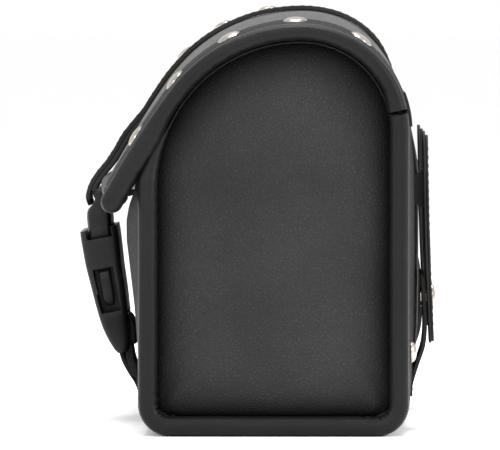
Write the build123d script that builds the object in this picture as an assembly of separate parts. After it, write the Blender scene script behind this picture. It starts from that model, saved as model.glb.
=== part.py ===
from build123d import *

import os
from math import asin, atan2, cos, degrees, radians, sin

# Arched leather case with a hinged lid, a strap and side-release buckle on the front, and two
# snap-down mounting straps on the back. Millimetres, +Z up. X runs from the buckle side (-X) to the
# mounting side (+X), and Y along the case. The origin is the middle of the base on the rest plane.

# Driving dimensions
CASE_LENGTH = 254.0      # along Y, over the end rims
CASE_WIDTH = 109.0       # along X, over the rims
CASE_HEIGHT = 165.6      # to the top of the arch
APEX_X = 11.0            # where the arch is highest
CORNER_RADIUS = 13.0     # outer bottom corners
LEATHER = 2.0            # skin of the case and the lid
BOARD = 2.0              # stiffener boards
ROLL_WIDTH = 8.0         # padded rim round each end panel
ROLL_DEPTH = 10.0        # how deep the end panel is recessed
ARCH_EDGE = 2.5          # what is left of the rim under the lid
SOFT_GAP = 0.3           # clearance between soft pieces of different bodies

# Lid
HINGE_RISE = 8.9         # lid hinge above the centre of the arch's back curve
HINGE_SLIT = 0.7         # half of the opening between the lid and the back panel
FLARE_RISE = 38.9        # where the lid leaves the arch, above the centre of its front curve
FLARE_RADIUS = 358.0     # the lid's front runs nearly straight from there
FLARE_LENGTH = 47.5
HEM_RADIUS = 4.2         # rolled front edge of the lid
CHIN_RISE = 2.9          # where the body's rim starts to bend in under the lid, above that centre
CHIN_BEND = 23.0         # height over which it bends in
TRIM_WIDTH = 12.0        # leather strips that carry the studs
TRIM_THICKNESS = 1.5
STUD_RADIUS = 4.9
STUD_HEIGHT = 2.0
STUD_PITCH = 27.4
STUD_FIRST = 34.3        # arc length from the hinge to the first stud
STUD_COUNT = 5

# Centre strap
STRAP_WIDTH = 38.0
STRAP_LAYER = 2.0
STRAP_START = 12.0       # arc length from the hinge to the strap's sewn end
TAIL_DROP = 6.5          # the strap's free tip hangs this far below the bar
RIVET_RADIUS = 3.6
RIVET_HEIGHT = 1.2
RIVET_ROWS = (72.5, 90.5, 108.5)   # arc lengths from the hinge
RIVET_EDGE = 6.0         # rivet centre to strap edge

# Side-release buckle, in its own frame: +Z up along the buckle, X through its thickness
BUCKLE_TILT = 11.0
MOUTH_OUT = 9.086       # from the lid's rolled edge out to the middle of the mouth
MOUTH_DROP = 19.302      # and down to it
BUCKLE_WIDTH = 52.0
MOUTH_THICKNESS = 15.2
BUCKLE_WALL = 2.0
SOCKET_DEPTH = 33.0
SOCKET_FLOOR_THICKNESS = 9.0
BUCKLE_LENGTH = 50.0
WINDOW_TOP = 13.5        # below the mouth
WINDOW_BOTTOM = 31.0
MALE_THICKNESS = 8.6
MALE_RISE = 6.5          # solid part of the male half above the mouth
TONGUE_WIDTH = 7.0
TONGUE_LENGTH = 27.0
ARM_WIDTH = 5.0
ARM_LENGTH = 28.0
ARM_ROOT = 4.0           # above the mouth, where an arm bends
ARM_INSET = 1.0          # from the running clearance in to an arm's outer face
CATCH_DROP = 0.8         # from the window's upper edge down to the catch
BAR_RADIUS = 2.1
BAR_X = 4.0
BAR_RISE = 15.0
LOOP_CLEARANCE = 0.3
RUN_CLEARANCE = 0.4

# Webbing under the buckle
WEBBING_WIDTH = 37.0
WEBBING_THICKNESS = 1.8
SLOT_HEIGHT = 3.4
HEEL_CLEARANCE = 0.09    # between the webbing and the female half's lower back edge
FOOT_Z = 8.0             # sewn end of the webbing, above the rest plane
BEND_Z = 14.0            # where it leaves the case
ANCHOR_LOW = 13.5        # patch over the sewn end
ANCHOR_HEIGHT = 8.0
ANCHOR_MARGIN = 4.0      # patch past each side of the webbing
ANCHOR_THICKNESS = 1.6

# Mounting straps on the back
MOUNT_SPACING = 140.0
MOUNT_WIDTH = 30.0
TAB_LAYER = 1.7
TAB_BELOW_HINGE = 9.5
TAB_TOP_HEIGHT = 31.5    # sewn part above the fold
FOLD_TO_STRAP = 26.0     # open loop between the fold and the base strap's top
TAB_BELOW_SNAP = 18.5
TAB_GAP_TOP = 5.7        # from the back panel to the tab
TAB_GAP_BOTTOM = 8.9
SPACER_HEIGHT = 15.0
STRAP_TO_SNAP = 10.0
SNAP_TO_BEND = 14.0
BASE_STRAP_THICKNESS = 1.8
BASE_STRAP_SEAM = (14.0, 20.0)   # where the base strap is sewn to the back, above the rest plane
SNAP_RADIUS = 4.0
POST_RADIUS = 1.8
CAP_HEIGHT = 1.4
BACK_STUD_Y = 104.0
BACK_STUD_Z = 33.0

# Worked out from the above
HALF_WIDTH = CASE_WIDTH / 2
HALF_LENGTH = CASE_LENGTH / 2
LEFT_RADIUS = HALF_WIDTH + APEX_X
RIGHT_RADIUS = HALF_WIDTH - APEX_X
LEFT_CENTRE = (APEX_X, CASE_HEIGHT - LEFT_RADIUS)
RIGHT_CENTRE = (APEX_X, CASE_HEIGHT - RIGHT_RADIUS)
HINGE_HEIGHT = RIGHT_CENTRE[1] + HINGE_RISE
CHIN_HEIGHT = LEFT_CENTRE[1] + CHIN_RISE
CHIN_TOP = CHIN_HEIGHT + CHIN_BEND
PANEL_HALF = HALF_LENGTH - ROLL_DEPTH            # skins and boards run between the rolls
LID_HALF = PANEL_HALF + SOFT_GAP
HINGE_ANGLE = degrees(asin(HINGE_RISE / RIGHT_RADIUS))
SLIT_ANGLE = degrees(HINGE_SLIT / RIGHT_RADIUS)
FLARE_ANGLE = 180.0 - degrees(asin(FLARE_RISE / LEFT_RADIUS))
FLARE_SWEEP = degrees(FLARE_LENGTH / FLARE_RADIUS)
TAB_TOP_Z = HINGE_HEIGHT - TAB_BELOW_HINGE
TAB_FOLD_Z = TAB_TOP_Z - TAB_TOP_HEIGHT
BASE_STRAP_TOP_Z = TAB_FOLD_Z - FOLD_TO_STRAP
SNAP_Z = BASE_STRAP_TOP_Z - STRAP_TO_SNAP
TAB_BOTTOM_Z = SNAP_Z - TAB_BELOW_SNAP
TAB_TOP_X = HALF_WIDTH + TAB_GAP_TOP
TAB_BOTTOM_X = HALF_WIDTH + TAB_GAP_BOTTOM
TAB_LEAN = degrees(atan2(TAB_BOTTOM_X - TAB_TOP_X, TAB_TOP_Z - TAB_BOTTOM_Z))
SLOT_Z = -SOCKET_DEPTH - 5.5                     # top of the webbing in the female half's slot
HEEL_Z = -0.86 * BUCKLE_LENGTH                   # the female half's lower back edge
LID_ROLL_IN = ROLL_WIDTH - ARCH_EDGE - SOFT_GAP  # the lid's roll stops short of the body's edge


def polar(centre, radius, angle):
    """Point at an angle in degrees on a circle in the XZ plane."""
    return (centre[0] + radius * cos(radians(angle)), centre[1] + radius * sin(radians(angle)))


FLARE_CENTRE = polar(polar(LEFT_CENTRE, LEFT_RADIUS, FLARE_ANGLE), FLARE_RADIUS, FLARE_ANGLE - 180.0)
HEM_CENTRE = polar(FLARE_CENTRE, FLARE_RADIUS - HEM_RADIUS, FLARE_ANGLE + FLARE_SWEEP)
MOUTH_X = HEM_CENTRE[0] - MOUTH_OUT
MOUTH_Z = HEM_CENTRE[1] - MOUTH_DROP


def extrude_y(face, low, high):
    """Solid from a sketch whose axes are X and Z, between two places along Y."""
    drawn = Plane(origin=(0, high, 0), x_dir=(1, 0, 0), z_dir=(0, -1, 0)) * face
    return extrude(drawn, amount=high - low)


def both_ends(shape):
    """The shape near the -Y end, and its mirror image at the other end."""
    return {"near": shape, "far": mirror(shape, about=Plane.XZ)}


def outline(inset):
    """Face of the case's end view, moved inwards by inset."""
    left, right, low = -HALF_WIDTH + inset, HALF_WIDTH - inset, inset
    corner = max(CORNER_RADIUS - inset, 1.0)
    apex = (APEX_X, CASE_HEIGHT - inset)
    left_r, right_r = LEFT_RADIUS - inset, RIGHT_RADIUS - inset
    edges = [
        Line((left + corner, low), (right - corner, low)),
        RadiusArc((right - corner, low), (right, low + corner), -corner),
        Line((right, low + corner), (right, RIGHT_CENTRE[1])),
        ThreePointArc((right, RIGHT_CENTRE[1]), polar(RIGHT_CENTRE, right_r, 45), apex),
        ThreePointArc(apex, polar(LEFT_CENTRE, left_r, 135), (left, LEFT_CENTRE[1])),
        Line((left, LEFT_CENTRE[1]), (left, low + corner)),
        RadiusArc((left, low + corner), (left + corner, low), -corner),
    ]
    return make_face(edges)


def ring(outer, inner):
    """Band of the case's end view between two insets."""
    return outline(outer) - outline(inner)


def lid_curve(inset, start=None, finish=None):
    """Edges of the lid's line from the hinge to its front, moved inwards by inset.

    start and finish are arc lengths along the lid's line at no inset, from the hinge.
    """
    first = HINGE_ANGLE + SLIT_ANGLE if start is None else angle_at(start)
    last = FLARE_SWEEP if finish is None else finish
    right_r, left_r, flare_r = RIGHT_RADIUS - inset, LEFT_RADIUS - inset, FLARE_RADIUS - inset
    apex = (APEX_X, CASE_HEIGHT - inset)
    leave = polar(LEFT_CENTRE, left_r, FLARE_ANGLE)
    right_arc = ThreePointArc(
        polar(RIGHT_CENTRE, right_r, first), polar(RIGHT_CENTRE, right_r, (first + 90) / 2), apex)
    left_arc = ThreePointArc(apex, polar(LEFT_CENTRE, left_r, (90 + FLARE_ANGLE) / 2), leave)
    flare = ThreePointArc(
        leave, polar(FLARE_CENTRE, flare_r, FLARE_ANGLE + last / 2),
        polar(FLARE_CENTRE, flare_r, FLARE_ANGLE + last))
    return [right_arc, left_arc, flare]


def angle_at(length):
    """Angle on the right-hand arc at an arc length from the hinge."""
    return HINGE_ANGLE + degrees(length / RIGHT_RADIUS)


def lid_band(outer, inner, start=None, finish=None):
    """Face between two insets of the lid's line."""
    out, inn = lid_curve(outer, start, finish), lid_curve(inner, start, finish)
    ends = [Line(out[-1] @ 1, inn[-1] @ 1), Line(inn[0] @ 0, out[0] @ 0)]
    return make_face(out + ends + inn)


def lid_spot(length, inset):
    """Point and outward angle at an arc length from the hinge."""
    right_length = RIGHT_RADIUS * radians(90 - HINGE_ANGLE)
    left_length = LEFT_RADIUS * radians(FLARE_ANGLE - 90)
    if length < right_length:
        angle = angle_at(length)
        return polar(RIGHT_CENTRE, RIGHT_RADIUS - inset, angle), angle
    if length < right_length + left_length:
        angle = 90 + degrees((length - right_length) / LEFT_RADIUS)
        return polar(LEFT_CENTRE, LEFT_RADIUS - inset, angle), angle
    angle = FLARE_ANGLE + degrees((length - right_length - left_length) / FLARE_RADIUS)
    return polar(FLARE_CENTRE, FLARE_RADIUS - inset, angle), angle


def dome(radius, height):
    """Shallow dome on the XY plane, rising along +Z."""
    ball = (radius * radius + height * height) / (2 * height)
    cap = Pos(0, 0, height - ball) * Sphere(ball)
    return cap & (Pos(0, 0, height / 2) * Box(3 * radius, 3 * radius, height))


def on_lid(shape, length, inset, y):
    """Stand a shape drawn along +Z on the lid's line."""
    (x, z), angle = lid_spot(length, inset)
    return Location((x, y, z), (0, 90 - angle, 0)) * shape


def facing_back(shape, x, y, z, lean=0.0):
    """Stand a shape drawn along +Z on the back of the case."""
    return Location((x, y, z), (0, 90 - lean, 0)) * shape


# ---- Case -------------------------------------------------------------------------------------

def below(height):
    """Block that holds everything under a height."""
    return Pos(0, height / 2 - 50) * Rectangle(4 * HALF_WIDTH, height + 100)


def wall_band(outer, inner, side):
    """Front (-1) or back (1) stretch of a band of the outline, with its bottom corner."""
    top = CHIN_TOP - 8.0 if side < 0 else HINGE_HEIGHT - HINGE_SLIT
    half = Pos(side * (HALF_WIDTH * 2 - CORNER_RADIUS), 0) * Rectangle(2 * HALF_WIDTH, 4 * CASE_HEIGHT)
    return ring(outer, inner) & half & below(top)


def base_band(outer, inner):
    """Bottom stretch of a band, between the corners."""
    middle = Rectangle(CASE_WIDTH - 2 * CORNER_RADIUS, CASE_HEIGHT)
    return ring(outer, inner) & middle


def make_walls():
    """Leather skins and the boards behind them."""
    skin, board = (0.0, LEATHER), (LEATHER, LEATHER + BOARD)
    return {
        "front_panel": extrude_y(wall_band(*skin, -1), -PANEL_HALF, PANEL_HALF),
        "back_panel": extrude_y(wall_band(*skin, 1), -PANEL_HALF, PANEL_HALF),
        "base_panel": extrude_y(base_band(*skin), -PANEL_HALF, PANEL_HALF),
        "front_board": extrude_y(wall_band(*board, -1), -PANEL_HALF, PANEL_HALF),
        "back_board": extrude_y(wall_band(*board, 1), -PANEL_HALF, PANEL_HALF),
        "base_board": extrude_y(base_band(*board), -PANEL_HALF, PANEL_HALF),
    }


def lid_zone():
    """Where the lid's roll lies, so that the body's rim gives way to it."""
    edge = ROLL_WIDTH - ARCH_EDGE
    inner_r = LEFT_RADIUS - edge
    rise = asin((CHIN_TOP - LEFT_CENTRE[1]) / inner_r)
    top_x = LEFT_CENTRE[0] - inner_r * cos(rise)
    far = 2 * CASE_HEIGHT
    slit = polar(RIGHT_CENTRE, far, HINGE_ANGLE - SLIT_ANGLE)
    zone = make_face(Polyline(
        (-far, CHIN_HEIGHT), (-HALF_WIDTH, CHIN_HEIGHT), (top_x, CHIN_TOP), RIGHT_CENTRE,
        slit, (far, 2 * far), (-far, 2 * far), close=True))
    return zone - outline(edge)


def make_ends():
    """End panels, the boards behind them, and the padded rims round them."""
    parts = {}
    rim = ring(0.0, ROLL_WIDTH) - lid_zone()
    panel_face = -HALF_LENGTH + ROLL_DEPTH
    for end, shape in both_ends(extrude_y(rim, -HALF_LENGTH, panel_face)).items():
        parts["end_rim_" + end] = shape
    panel = extrude_y(outline(ROLL_WIDTH), panel_face - LEATHER, panel_face)
    for end, shape in both_ends(panel).items():
        parts["end_panel_" + end] = shape
    board = extrude_y(outline(ROLL_WIDTH - ARCH_EDGE), panel_face, panel_face + BOARD)
    for end, shape in both_ends(board).items():
        parts["end_board_" + end] = shape
    return parts


def make_hinge_lining():
    """Strip inside the back that ties it to the lid."""
    inset = LEATHER + BOARD
    band = ring(inset, inset + 1.2) & (Pos(HALF_WIDTH, HINGE_HEIGHT - 10) * Rectangle(40, 18))
    reach = PANEL_HALF - BOARD
    return extrude_y(band, -reach, reach)


def make_back_studs():
    """Dome studs low on the back panel, one near each end."""
    stud = dome(STUD_RADIUS, STUD_HEIGHT)
    return Compound(children=[facing_back(stud, HALF_WIDTH, y, BACK_STUD_Z)
                              for y in (-BACK_STUD_Y, BACK_STUD_Y)])


# ---- Lid --------------------------------------------------------------------------------------

def make_lid():
    """Lid skin, board, side rolls and front hem."""
    skin = extrude_y(lid_band(-LEATHER, 0.0), -LID_HALF, LID_HALF)
    board = extrude_y(lid_band(0.0, BOARD, finish=FLARE_SWEEP * 0.86), -LID_HALF, LID_HALF)
    hem_disc = Pos(*HEM_CENTRE) * Circle(HEM_RADIUS)
    hem = hem_disc - lid_band(0.0, BOARD, finish=FLARE_SWEEP * 0.86) - lid_band(-LEATHER, 0.0)
    parts = {
        "lid_panel": skin,
        "lid_board": board,
        "lid_front_hem": extrude_y(hem, -LID_HALF, LID_HALF),
    }
    roll = lid_band(0.0, LID_ROLL_IN) + lid_cheek() + hem_disc
    solid = extrude_y(roll, -HALF_LENGTH, -LID_HALF)
    for end, shape in both_ends(solid).items():
        parts["lid_roll_" + end] = shape
    return parts


def lid_cheek():
    """Widening of the lid's roll where it flares in front of the body's rim."""
    edge = LEFT_RADIUS - LID_ROLL_IN
    rise = asin((CHIN_TOP - LEFT_CENTRE[1]) / edge)
    inner_top = (LEFT_CENTRE[0] - edge * cos(rise), CHIN_TOP + SOFT_GAP)
    inner_low = (-HALF_WIDTH - SOFT_GAP, CHIN_HEIGHT)
    flare = lid_curve(0.0)[2]
    hem = HEM_CENTRE
    return make_face(Polyline(
        flare @ 0.05, flare @ 0.5, flare @ 1, hem, (hem[0] + HEM_RADIUS * 0.95, hem[1] - 1.0),
        inner_low, inner_top, close=True))


def make_trims():
    """Strips along the lid's ends and the dome studs on them."""
    low = -LID_HALF
    strip = extrude_y(lid_band(-LEATHER - TRIM_THICKNESS, -LEATHER, start=2.0), low, low + TRIM_WIDTH)
    parts = {"lid_trim_" + end: shape for end, shape in both_ends(strip).items()}
    stud = dome(STUD_RADIUS, STUD_HEIGHT)
    y = LID_HALF - TRIM_WIDTH / 2
    parts["lid_studs"] = Compound(children=[
        on_lid(stud, STUD_FIRST + n * STUD_PITCH, -LEATHER - TRIM_THICKNESS, side * y)
        for n in range(STUD_COUNT) for side in (-1, 1)])
    return parts


def buckle_place():
    """Where the buckle's own frame lies: the middle of the female half's mouth."""
    return Location((MOUTH_X, 0, MOUTH_Z), (0, -BUCKLE_TILT, 0))


def buckle_point(x, z):
    """XZ position of a point given in the buckle's frame."""
    turn = radians(BUCKLE_TILT)
    return (MOUTH_X + x * cos(turn) - z * sin(turn), MOUTH_Z + x * sin(turn) + z * cos(turn))


def make_strap():
    """Centre strap in two layers, its loop round the buckle's bar, and its rivets."""
    half = STRAP_WIDTH / 2
    lower = lid_band(-LEATHER - STRAP_LAYER, -LEATHER, start=STRAP_START)
    upper = lid_band(-LEATHER - 2 * STRAP_LAYER, -LEATHER - STRAP_LAYER, start=STRAP_START)
    parts = {"strap_lower_layer": extrude_y(lower, -half, half)}
    bar = buckle_point(BAR_X, BAR_RISE)
    end = lid_curve(-LEATHER - 2 * STRAP_LAYER)[2]
    inner = lid_curve(-LEATHER - STRAP_LAYER)[2]
    wrap = BAR_X - BAR_RADIUS - LOOP_CLEARANCE - STRAP_LAYER
    outside = buckle_point(wrap, BAR_RISE - 1.0)
    shoulder = buckle_point(wrap - STRAP_LAYER, BAR_RISE - 1.0)
    tip_in = buckle_point(wrap - 0.4, BAR_RISE - TAIL_DROP)
    tip_out = buckle_point(wrap - STRAP_LAYER, BAR_RISE - TAIL_DROP)
    tail = make_face(Polyline(inner @ 1, end @ 1, shoulder, tip_out, tip_in, outside, close=True))
    parts["strap_upper_layer"] = extrude_y(upper + tail, -half, half)
    loop = Circle(BAR_RADIUS + LOOP_CLEARANCE + STRAP_LAYER - 0.2) - Circle(BAR_RADIUS + LOOP_CLEARANCE)
    blocked = upper + tail + lower + lid_band(-LEATHER, HEM_RADIUS) + Pos(*HEM_CENTRE) * Circle(HEM_RADIUS)
    ring_face = (Pos(*bar) * loop) - blocked
    parts["strap_loop"] = extrude_y(ring_face, -half, half)
    rivet = dome(RIVET_RADIUS, RIVET_HEIGHT)
    parts["strap_rivets"] = Compound(children=[
        on_lid(rivet, row, -LEATHER - 2 * STRAP_LAYER, side * (half - RIVET_EDGE))
        for row in RIVET_ROWS for side in (-1, 1)])
    return parts


# ---- Buckle -----------------------------------------------------------------------------------

def make_female():
    """Hollow half: socket open at the mouth, a window in each side, and a bar for the webbing."""
    top, low = MOUTH_THICKNESS / 2, SOCKET_FLOOR_THICKNESS / 2
    side = make_face(Polyline(
        (-top, 0), (top, 0), (top - 0.8, -SOCKET_DEPTH * 0.75), (low, HEEL_Z),
        (1.0, -BUCKLE_LENGTH), (-2.0, -BUCKLE_LENGTH), (-low - 0.6, -BUCKLE_LENGTH * 0.8),
        (-top + 0.6, -SOCKET_DEPTH * 0.6), close=True))
    body = extrude_y(side, -BUCKLE_WIDTH / 2, BUCKLE_WIDTH / 2)
    inner_top, inner_low = top - BUCKLE_WALL, MALE_THICKNESS / 2 + RUN_CLEARANCE
    hollow = make_face(Polyline(
        (-inner_top, 1), (inner_top, 1), (inner_low, -SOCKET_DEPTH), (-inner_low, -SOCKET_DEPTH), close=True))
    inner_half = BUCKLE_WIDTH / 2 - BUCKLE_WALL
    body -= extrude_y(hollow, -inner_half, inner_half)
    window = make_face(Polyline(
        (-inner_low, -WINDOW_TOP), (inner_low, -WINDOW_TOP),
        (inner_low, -WINDOW_BOTTOM), (-inner_low, -WINDOW_BOTTOM), close=True))
    body -= extrude_y(window, -BUCKLE_WIDTH, BUCKLE_WIDTH)
    slot = Pos(0, 0, SLOT_Z - WEBBING_THICKNESS / 2) * Box(30, WEBBING_WIDTH + 1.0, SLOT_HEIGHT)
    return buckle_place() * (body - slot)


def make_male():
    """Solid half: body above the mouth, tongue in the middle, and the bar the strap loops round."""
    half = MALE_THICKNESS / 2
    width = BUCKLE_WIDTH - 2 * BUCKLE_WALL - 2 * RUN_CLEARANCE
    body = Pos(0, 0, (MALE_RISE + 0.6) / 2) * Box(MALE_THICKNESS, width, MALE_RISE - 0.6)
    tongue = Pos(0, 0, -TONGUE_LENGTH / 2 + 0.6) * Box(4.0, TONGUE_WIDTH, TONGUE_LENGTH)
    cheek_face = make_face(Polyline(
        (-half, MALE_RISE - 1), (half, MALE_RISE - 1), (BAR_X + BAR_RADIUS + 0.9, BAR_RISE),
        (BAR_X + 1.2, BAR_RISE + BAR_RADIUS + 0.6), (BAR_X - BAR_RADIUS, BAR_RISE + 1.0),
        (-half + 1.4, MALE_RISE + 2.0), close=True))
    outer = STRAP_WIDTH / 2 + LOOP_CLEARANCE
    cheek = extrude_y(cheek_face, outer, width / 2)
    bar = Pos(BAR_X, 0, BAR_RISE) * Rot(90, 0, 0) * Cylinder(BAR_RADIUS, width - 2.0)
    male = body + tongue + cheek + mirror(cheek, about=Plane.XZ) + bar
    for side in (-1, 1):
        male -= arm_shape(side, RUN_CLEARANCE / 2)
    return buckle_place() * male


def arm_shape(side, margin=0.0):
    """One squeeze arm and its catch, held in just far enough to clear the socket's walls."""
    inner_half = BUCKLE_WIDTH / 2 - BUCKLE_WALL
    outside = inner_half - RUN_CLEARANCE - ARM_INSET
    thick = MALE_THICKNESS - 1.0 + 2 * margin
    low, high = -ARM_LENGTH, ARM_ROOT + margin
    stem = Pos(0, side * (outside - ARM_WIDTH / 2), (low + high) / 2) * Box(
        thick, ARM_WIDTH + 2 * margin, high - low)
    catch_top, catch_low = -WINDOW_TOP - CATCH_DROP, -ARM_LENGTH
    reach = inner_half - RUN_CLEARANCE / 2 - outside
    catch = Pos(0, side * (outside + reach / 2), (catch_top + catch_low) / 2) * Box(
        thick, reach, catch_top - catch_low)
    return stem if margin else stem + catch


def make_arms():
    """Squeeze arms of the male half."""
    return {"buckle_arm_near": buckle_place() * arm_shape(-1),
            "buckle_arm_far": buckle_place() * arm_shape(1)}


def make_webbing():
    """Webbing through the female half's slot and down to the anchor, with its tail behind."""
    outer = HALF_WIDTH + ANCHOR_THICKNESS + SOFT_GAP
    lip = buckle_point(-SOCKET_FLOOR_THICKNESS / 2 - 2.4, SLOT_Z)
    lip_in = buckle_point(-SOCKET_FLOOR_THICKNESS / 2 - 2.4, SLOT_Z - WEBBING_THICKNESS)
    low_out = (-outer - WEBBING_THICKNESS, BEND_Z)
    low_in = (-outer, BEND_Z - 1.0)
    foot_out = (-outer - WEBBING_THICKNESS, FOOT_Z)
    foot_in = (-outer, FOOT_Z)
    heel = buckle_point(SOCKET_FLOOR_THICKNESS / 2, HEEL_Z)
    slope = (heel[0] + HEEL_CLEARANCE - low_out[0]) / (heel[1] - low_out[1])
    leave_z = buckle_point(SOCKET_FLOOR_THICKNESS / 2, SLOT_Z - WEBBING_THICKNESS)[1]
    back = (low_out[0] + slope * (leave_z - low_out[1]), leave_z)
    back_top = (back[0] + 0.68 * WEBBING_THICKNESS, back[1] + 1.15 * WEBBING_THICKNESS)
    run = make_face(Polyline(lip, lip_in, back, low_out, foot_out, foot_in, low_in, back_top, close=True))
    half = WEBBING_WIDTH / 2
    return extrude_y(run, -half, half)


def make_anchor():
    """Leather patch that the webbing is sewn under."""
    return Pos(-HALF_WIDTH - ANCHOR_THICKNESS / 2, 0, ANCHOR_LOW + ANCHOR_HEIGHT / 2) * Box(
        ANCHOR_THICKNESS, WEBBING_WIDTH + 2 * ANCHOR_MARGIN, ANCHOR_HEIGHT)


# ---- Mounting straps --------------------------------------------------------------------------

def tab_x(z):
    """Inner face of a mounting tab, which leans out towards its lower end."""
    share = (TAB_TOP_Z - z) / (TAB_TOP_Z - TAB_BOTTOM_Z)
    return TAB_TOP_X + share * (TAB_BOTTOM_X - TAB_TOP_X)


def tab_slab(offset, thickness, low, high):
    """Stretch of a tab, at an offset from its inner face."""
    return make_face(Polyline(
        (tab_x(low) + offset, low), (tab_x(low) + offset + thickness, low),
        (tab_x(high) + offset + thickness, high), (tab_x(high) + offset, high), close=True))


def across_mount(face, inset=0.0):
    """Extrude across one mounting strap, at the -Y end."""
    middle, half = -MOUNT_SPACING / 2, MOUNT_WIDTH / 2 - inset
    return extrude_y(face, middle - half, middle + half)


def make_mounts():
    """Both mounting straps, without the parts that swing."""
    y = -MOUNT_SPACING / 2
    top = tab_slab(0.0, 2 * TAB_LAYER, TAB_FOLD_Z + SOFT_GAP, TAB_TOP_Z)
    spacer_low = TAB_FOLD_Z + SOFT_GAP
    spacer_high = spacer_low + SPACER_HEIGHT
    spacer = make_face(Polyline(
        (HALF_WIDTH, spacer_low), (tab_x(spacer_low), spacer_low),
        (tab_x(spacer_high), spacer_high), (HALF_WIDTH, spacer_high), close=True))
    gap = SOFT_GAP + BASE_STRAP_THICKNESS
    seam_low, seam_high = BASE_STRAP_SEAM
    bend_z = SNAP_Z - SNAP_TO_BEND
    strap = make_face(Polyline(
        (HALF_WIDTH, seam_low), (HALF_WIDTH + BASE_STRAP_THICKNESS, seam_low),
        (HALF_WIDTH + 2.6 + 2.0, seam_high + 6.0), (tab_x(bend_z) - SOFT_GAP, bend_z),
        (tab_x(BASE_STRAP_TOP_Z) - SOFT_GAP, BASE_STRAP_TOP_Z),
        (tab_x(BASE_STRAP_TOP_Z) - gap, BASE_STRAP_TOP_Z), (tab_x(bend_z) - gap, bend_z),
        (HALF_WIDTH + 2.6, seam_high + 7.0), (HALF_WIDTH, seam_high), close=True))
    shapes = {
        "mount_tab_top": across_mount(top),
        "mount_spacer": across_mount(spacer, 1.0),
        "base_strap": across_mount(strap, 1.0) - facing_back(
            Cylinder(POST_RADIUS + 0.1, 30), tab_x(SNAP_Z), y, SNAP_Z, TAB_LEAN),
        "snap_post": snap_post(y),
    }
    return {f"{name}_{end}": piece for name, shape in shapes.items()
            for end, piece in both_ends(shape).items()}


def snap_post(y):
    """Snap stud on the base strap: a flange behind it and a post through it."""
    rise = BASE_STRAP_THICKNESS + 1.2
    flange = Pos(0, 0, -0.5) * Cylinder(SNAP_RADIUS, 0.8)
    post = Pos(0, 0, rise / 2 - 0.2) * Cylinder(POST_RADIUS, rise + 0.2)
    back = tab_x(SNAP_Z) - (SOFT_GAP + BASE_STRAP_THICKNESS) / cos(radians(TAB_LEAN))
    return facing_back(flange + post, back, y, SNAP_Z, TAB_LEAN)


def make_tabs():
    """The parts of the mounting straps that swing out once their snaps are undone."""
    y = -MOUNT_SPACING / 2
    hole = facing_back(Cylinder(POST_RADIUS + 0.6, 30), tab_x(SNAP_Z), y, SNAP_Z, TAB_LEAN)
    inner = across_mount(tab_slab(0.0, TAB_LAYER, TAB_BOTTOM_Z, TAB_FOLD_Z - SOFT_GAP)) - hole
    outer = across_mount(tab_slab(TAB_LAYER, TAB_LAYER, TAB_BOTTOM_Z, TAB_FOLD_Z - SOFT_GAP), 1.2)
    cap = Pos(0, 0, CAP_HEIGHT / 2 + 0.05) * Cylinder(SNAP_RADIUS, CAP_HEIGHT)
    cap = facing_back(cap, tab_x(SNAP_Z) + 2 * TAB_LAYER, y, SNAP_Z, TAB_LEAN)
    shapes = {"mount_tab_inner": inner, "mount_tab_outer": outer, "snap_cap": cap}
    return {f"{name}_{end}": piece for name, shape in shapes.items()
            for end, piece in both_ends(shape).items()}


def make_parts():
    """Every sub-part, by node name."""
    parts = {}
    parts.update(make_walls())
    parts.update(make_ends())
    parts["hinge_lining"] = make_hinge_lining()
    parts["back_studs"] = make_back_studs()
    parts.update(make_lid())
    parts.update(make_trims())
    parts.update(make_strap())
    parts["buckle_female"] = make_female()
    parts["buckle_male"] = make_male()
    parts.update(make_arms())
    parts["webbing"] = make_webbing()
    parts["webbing_anchor"] = make_anchor()
    parts.update(make_mounts())
    parts.update(make_tabs())
    return parts


os.makedirs("parts", exist_ok=True)
for name, shape in make_parts().items():
    export_step(shape, f"parts/{name}.step")
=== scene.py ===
"""Looks of an arched leather case: padded rims, puffed panels, a studded lid, straps and a buckle.

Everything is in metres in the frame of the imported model. Each sub-assembly is a class that builds
its own meshes; each finish is a small class that builds one procedural material.
"""

import logging
import math
from dataclasses import dataclass, field
from enum import Enum
from typing import Callable, Sequence

import bmesh
import bpy
from mathutils import Matrix, Vector, noise


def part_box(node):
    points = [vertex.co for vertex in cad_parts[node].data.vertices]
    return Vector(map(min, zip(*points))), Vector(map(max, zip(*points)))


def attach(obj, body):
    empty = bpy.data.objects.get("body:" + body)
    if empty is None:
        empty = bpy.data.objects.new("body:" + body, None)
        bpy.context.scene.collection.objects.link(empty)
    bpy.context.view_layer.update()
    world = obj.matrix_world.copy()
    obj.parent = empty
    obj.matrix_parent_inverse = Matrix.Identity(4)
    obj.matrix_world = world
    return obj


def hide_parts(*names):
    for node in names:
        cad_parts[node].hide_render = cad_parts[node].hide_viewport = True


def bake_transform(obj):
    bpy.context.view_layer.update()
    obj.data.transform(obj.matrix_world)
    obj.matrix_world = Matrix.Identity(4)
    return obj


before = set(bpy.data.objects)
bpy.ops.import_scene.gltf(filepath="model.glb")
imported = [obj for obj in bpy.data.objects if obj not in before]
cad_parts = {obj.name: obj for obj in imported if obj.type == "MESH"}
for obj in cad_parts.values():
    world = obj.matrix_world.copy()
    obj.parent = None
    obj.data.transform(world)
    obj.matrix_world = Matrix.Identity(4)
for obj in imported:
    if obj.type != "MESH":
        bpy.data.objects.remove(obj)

LOG = logging.getLogger("case")
MM = 0.001
UP, BACKWARD, ACROSS = Vector((0, 0, 1)), Vector((1, 0, 0)), Vector((0, 1, 0))
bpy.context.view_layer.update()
Place = Callable[[float, float, float], Vector]


class End(Enum):
    """The two ends of the case, with the sign of Y at each."""

    NEAR = -1
    FAR = 1

    @property
    def tag(self) -> str:
        """Suffix used in node names."""
        return self.name.lower()


# ---- Lines of the case ------------------------------------------------------------------------

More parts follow.
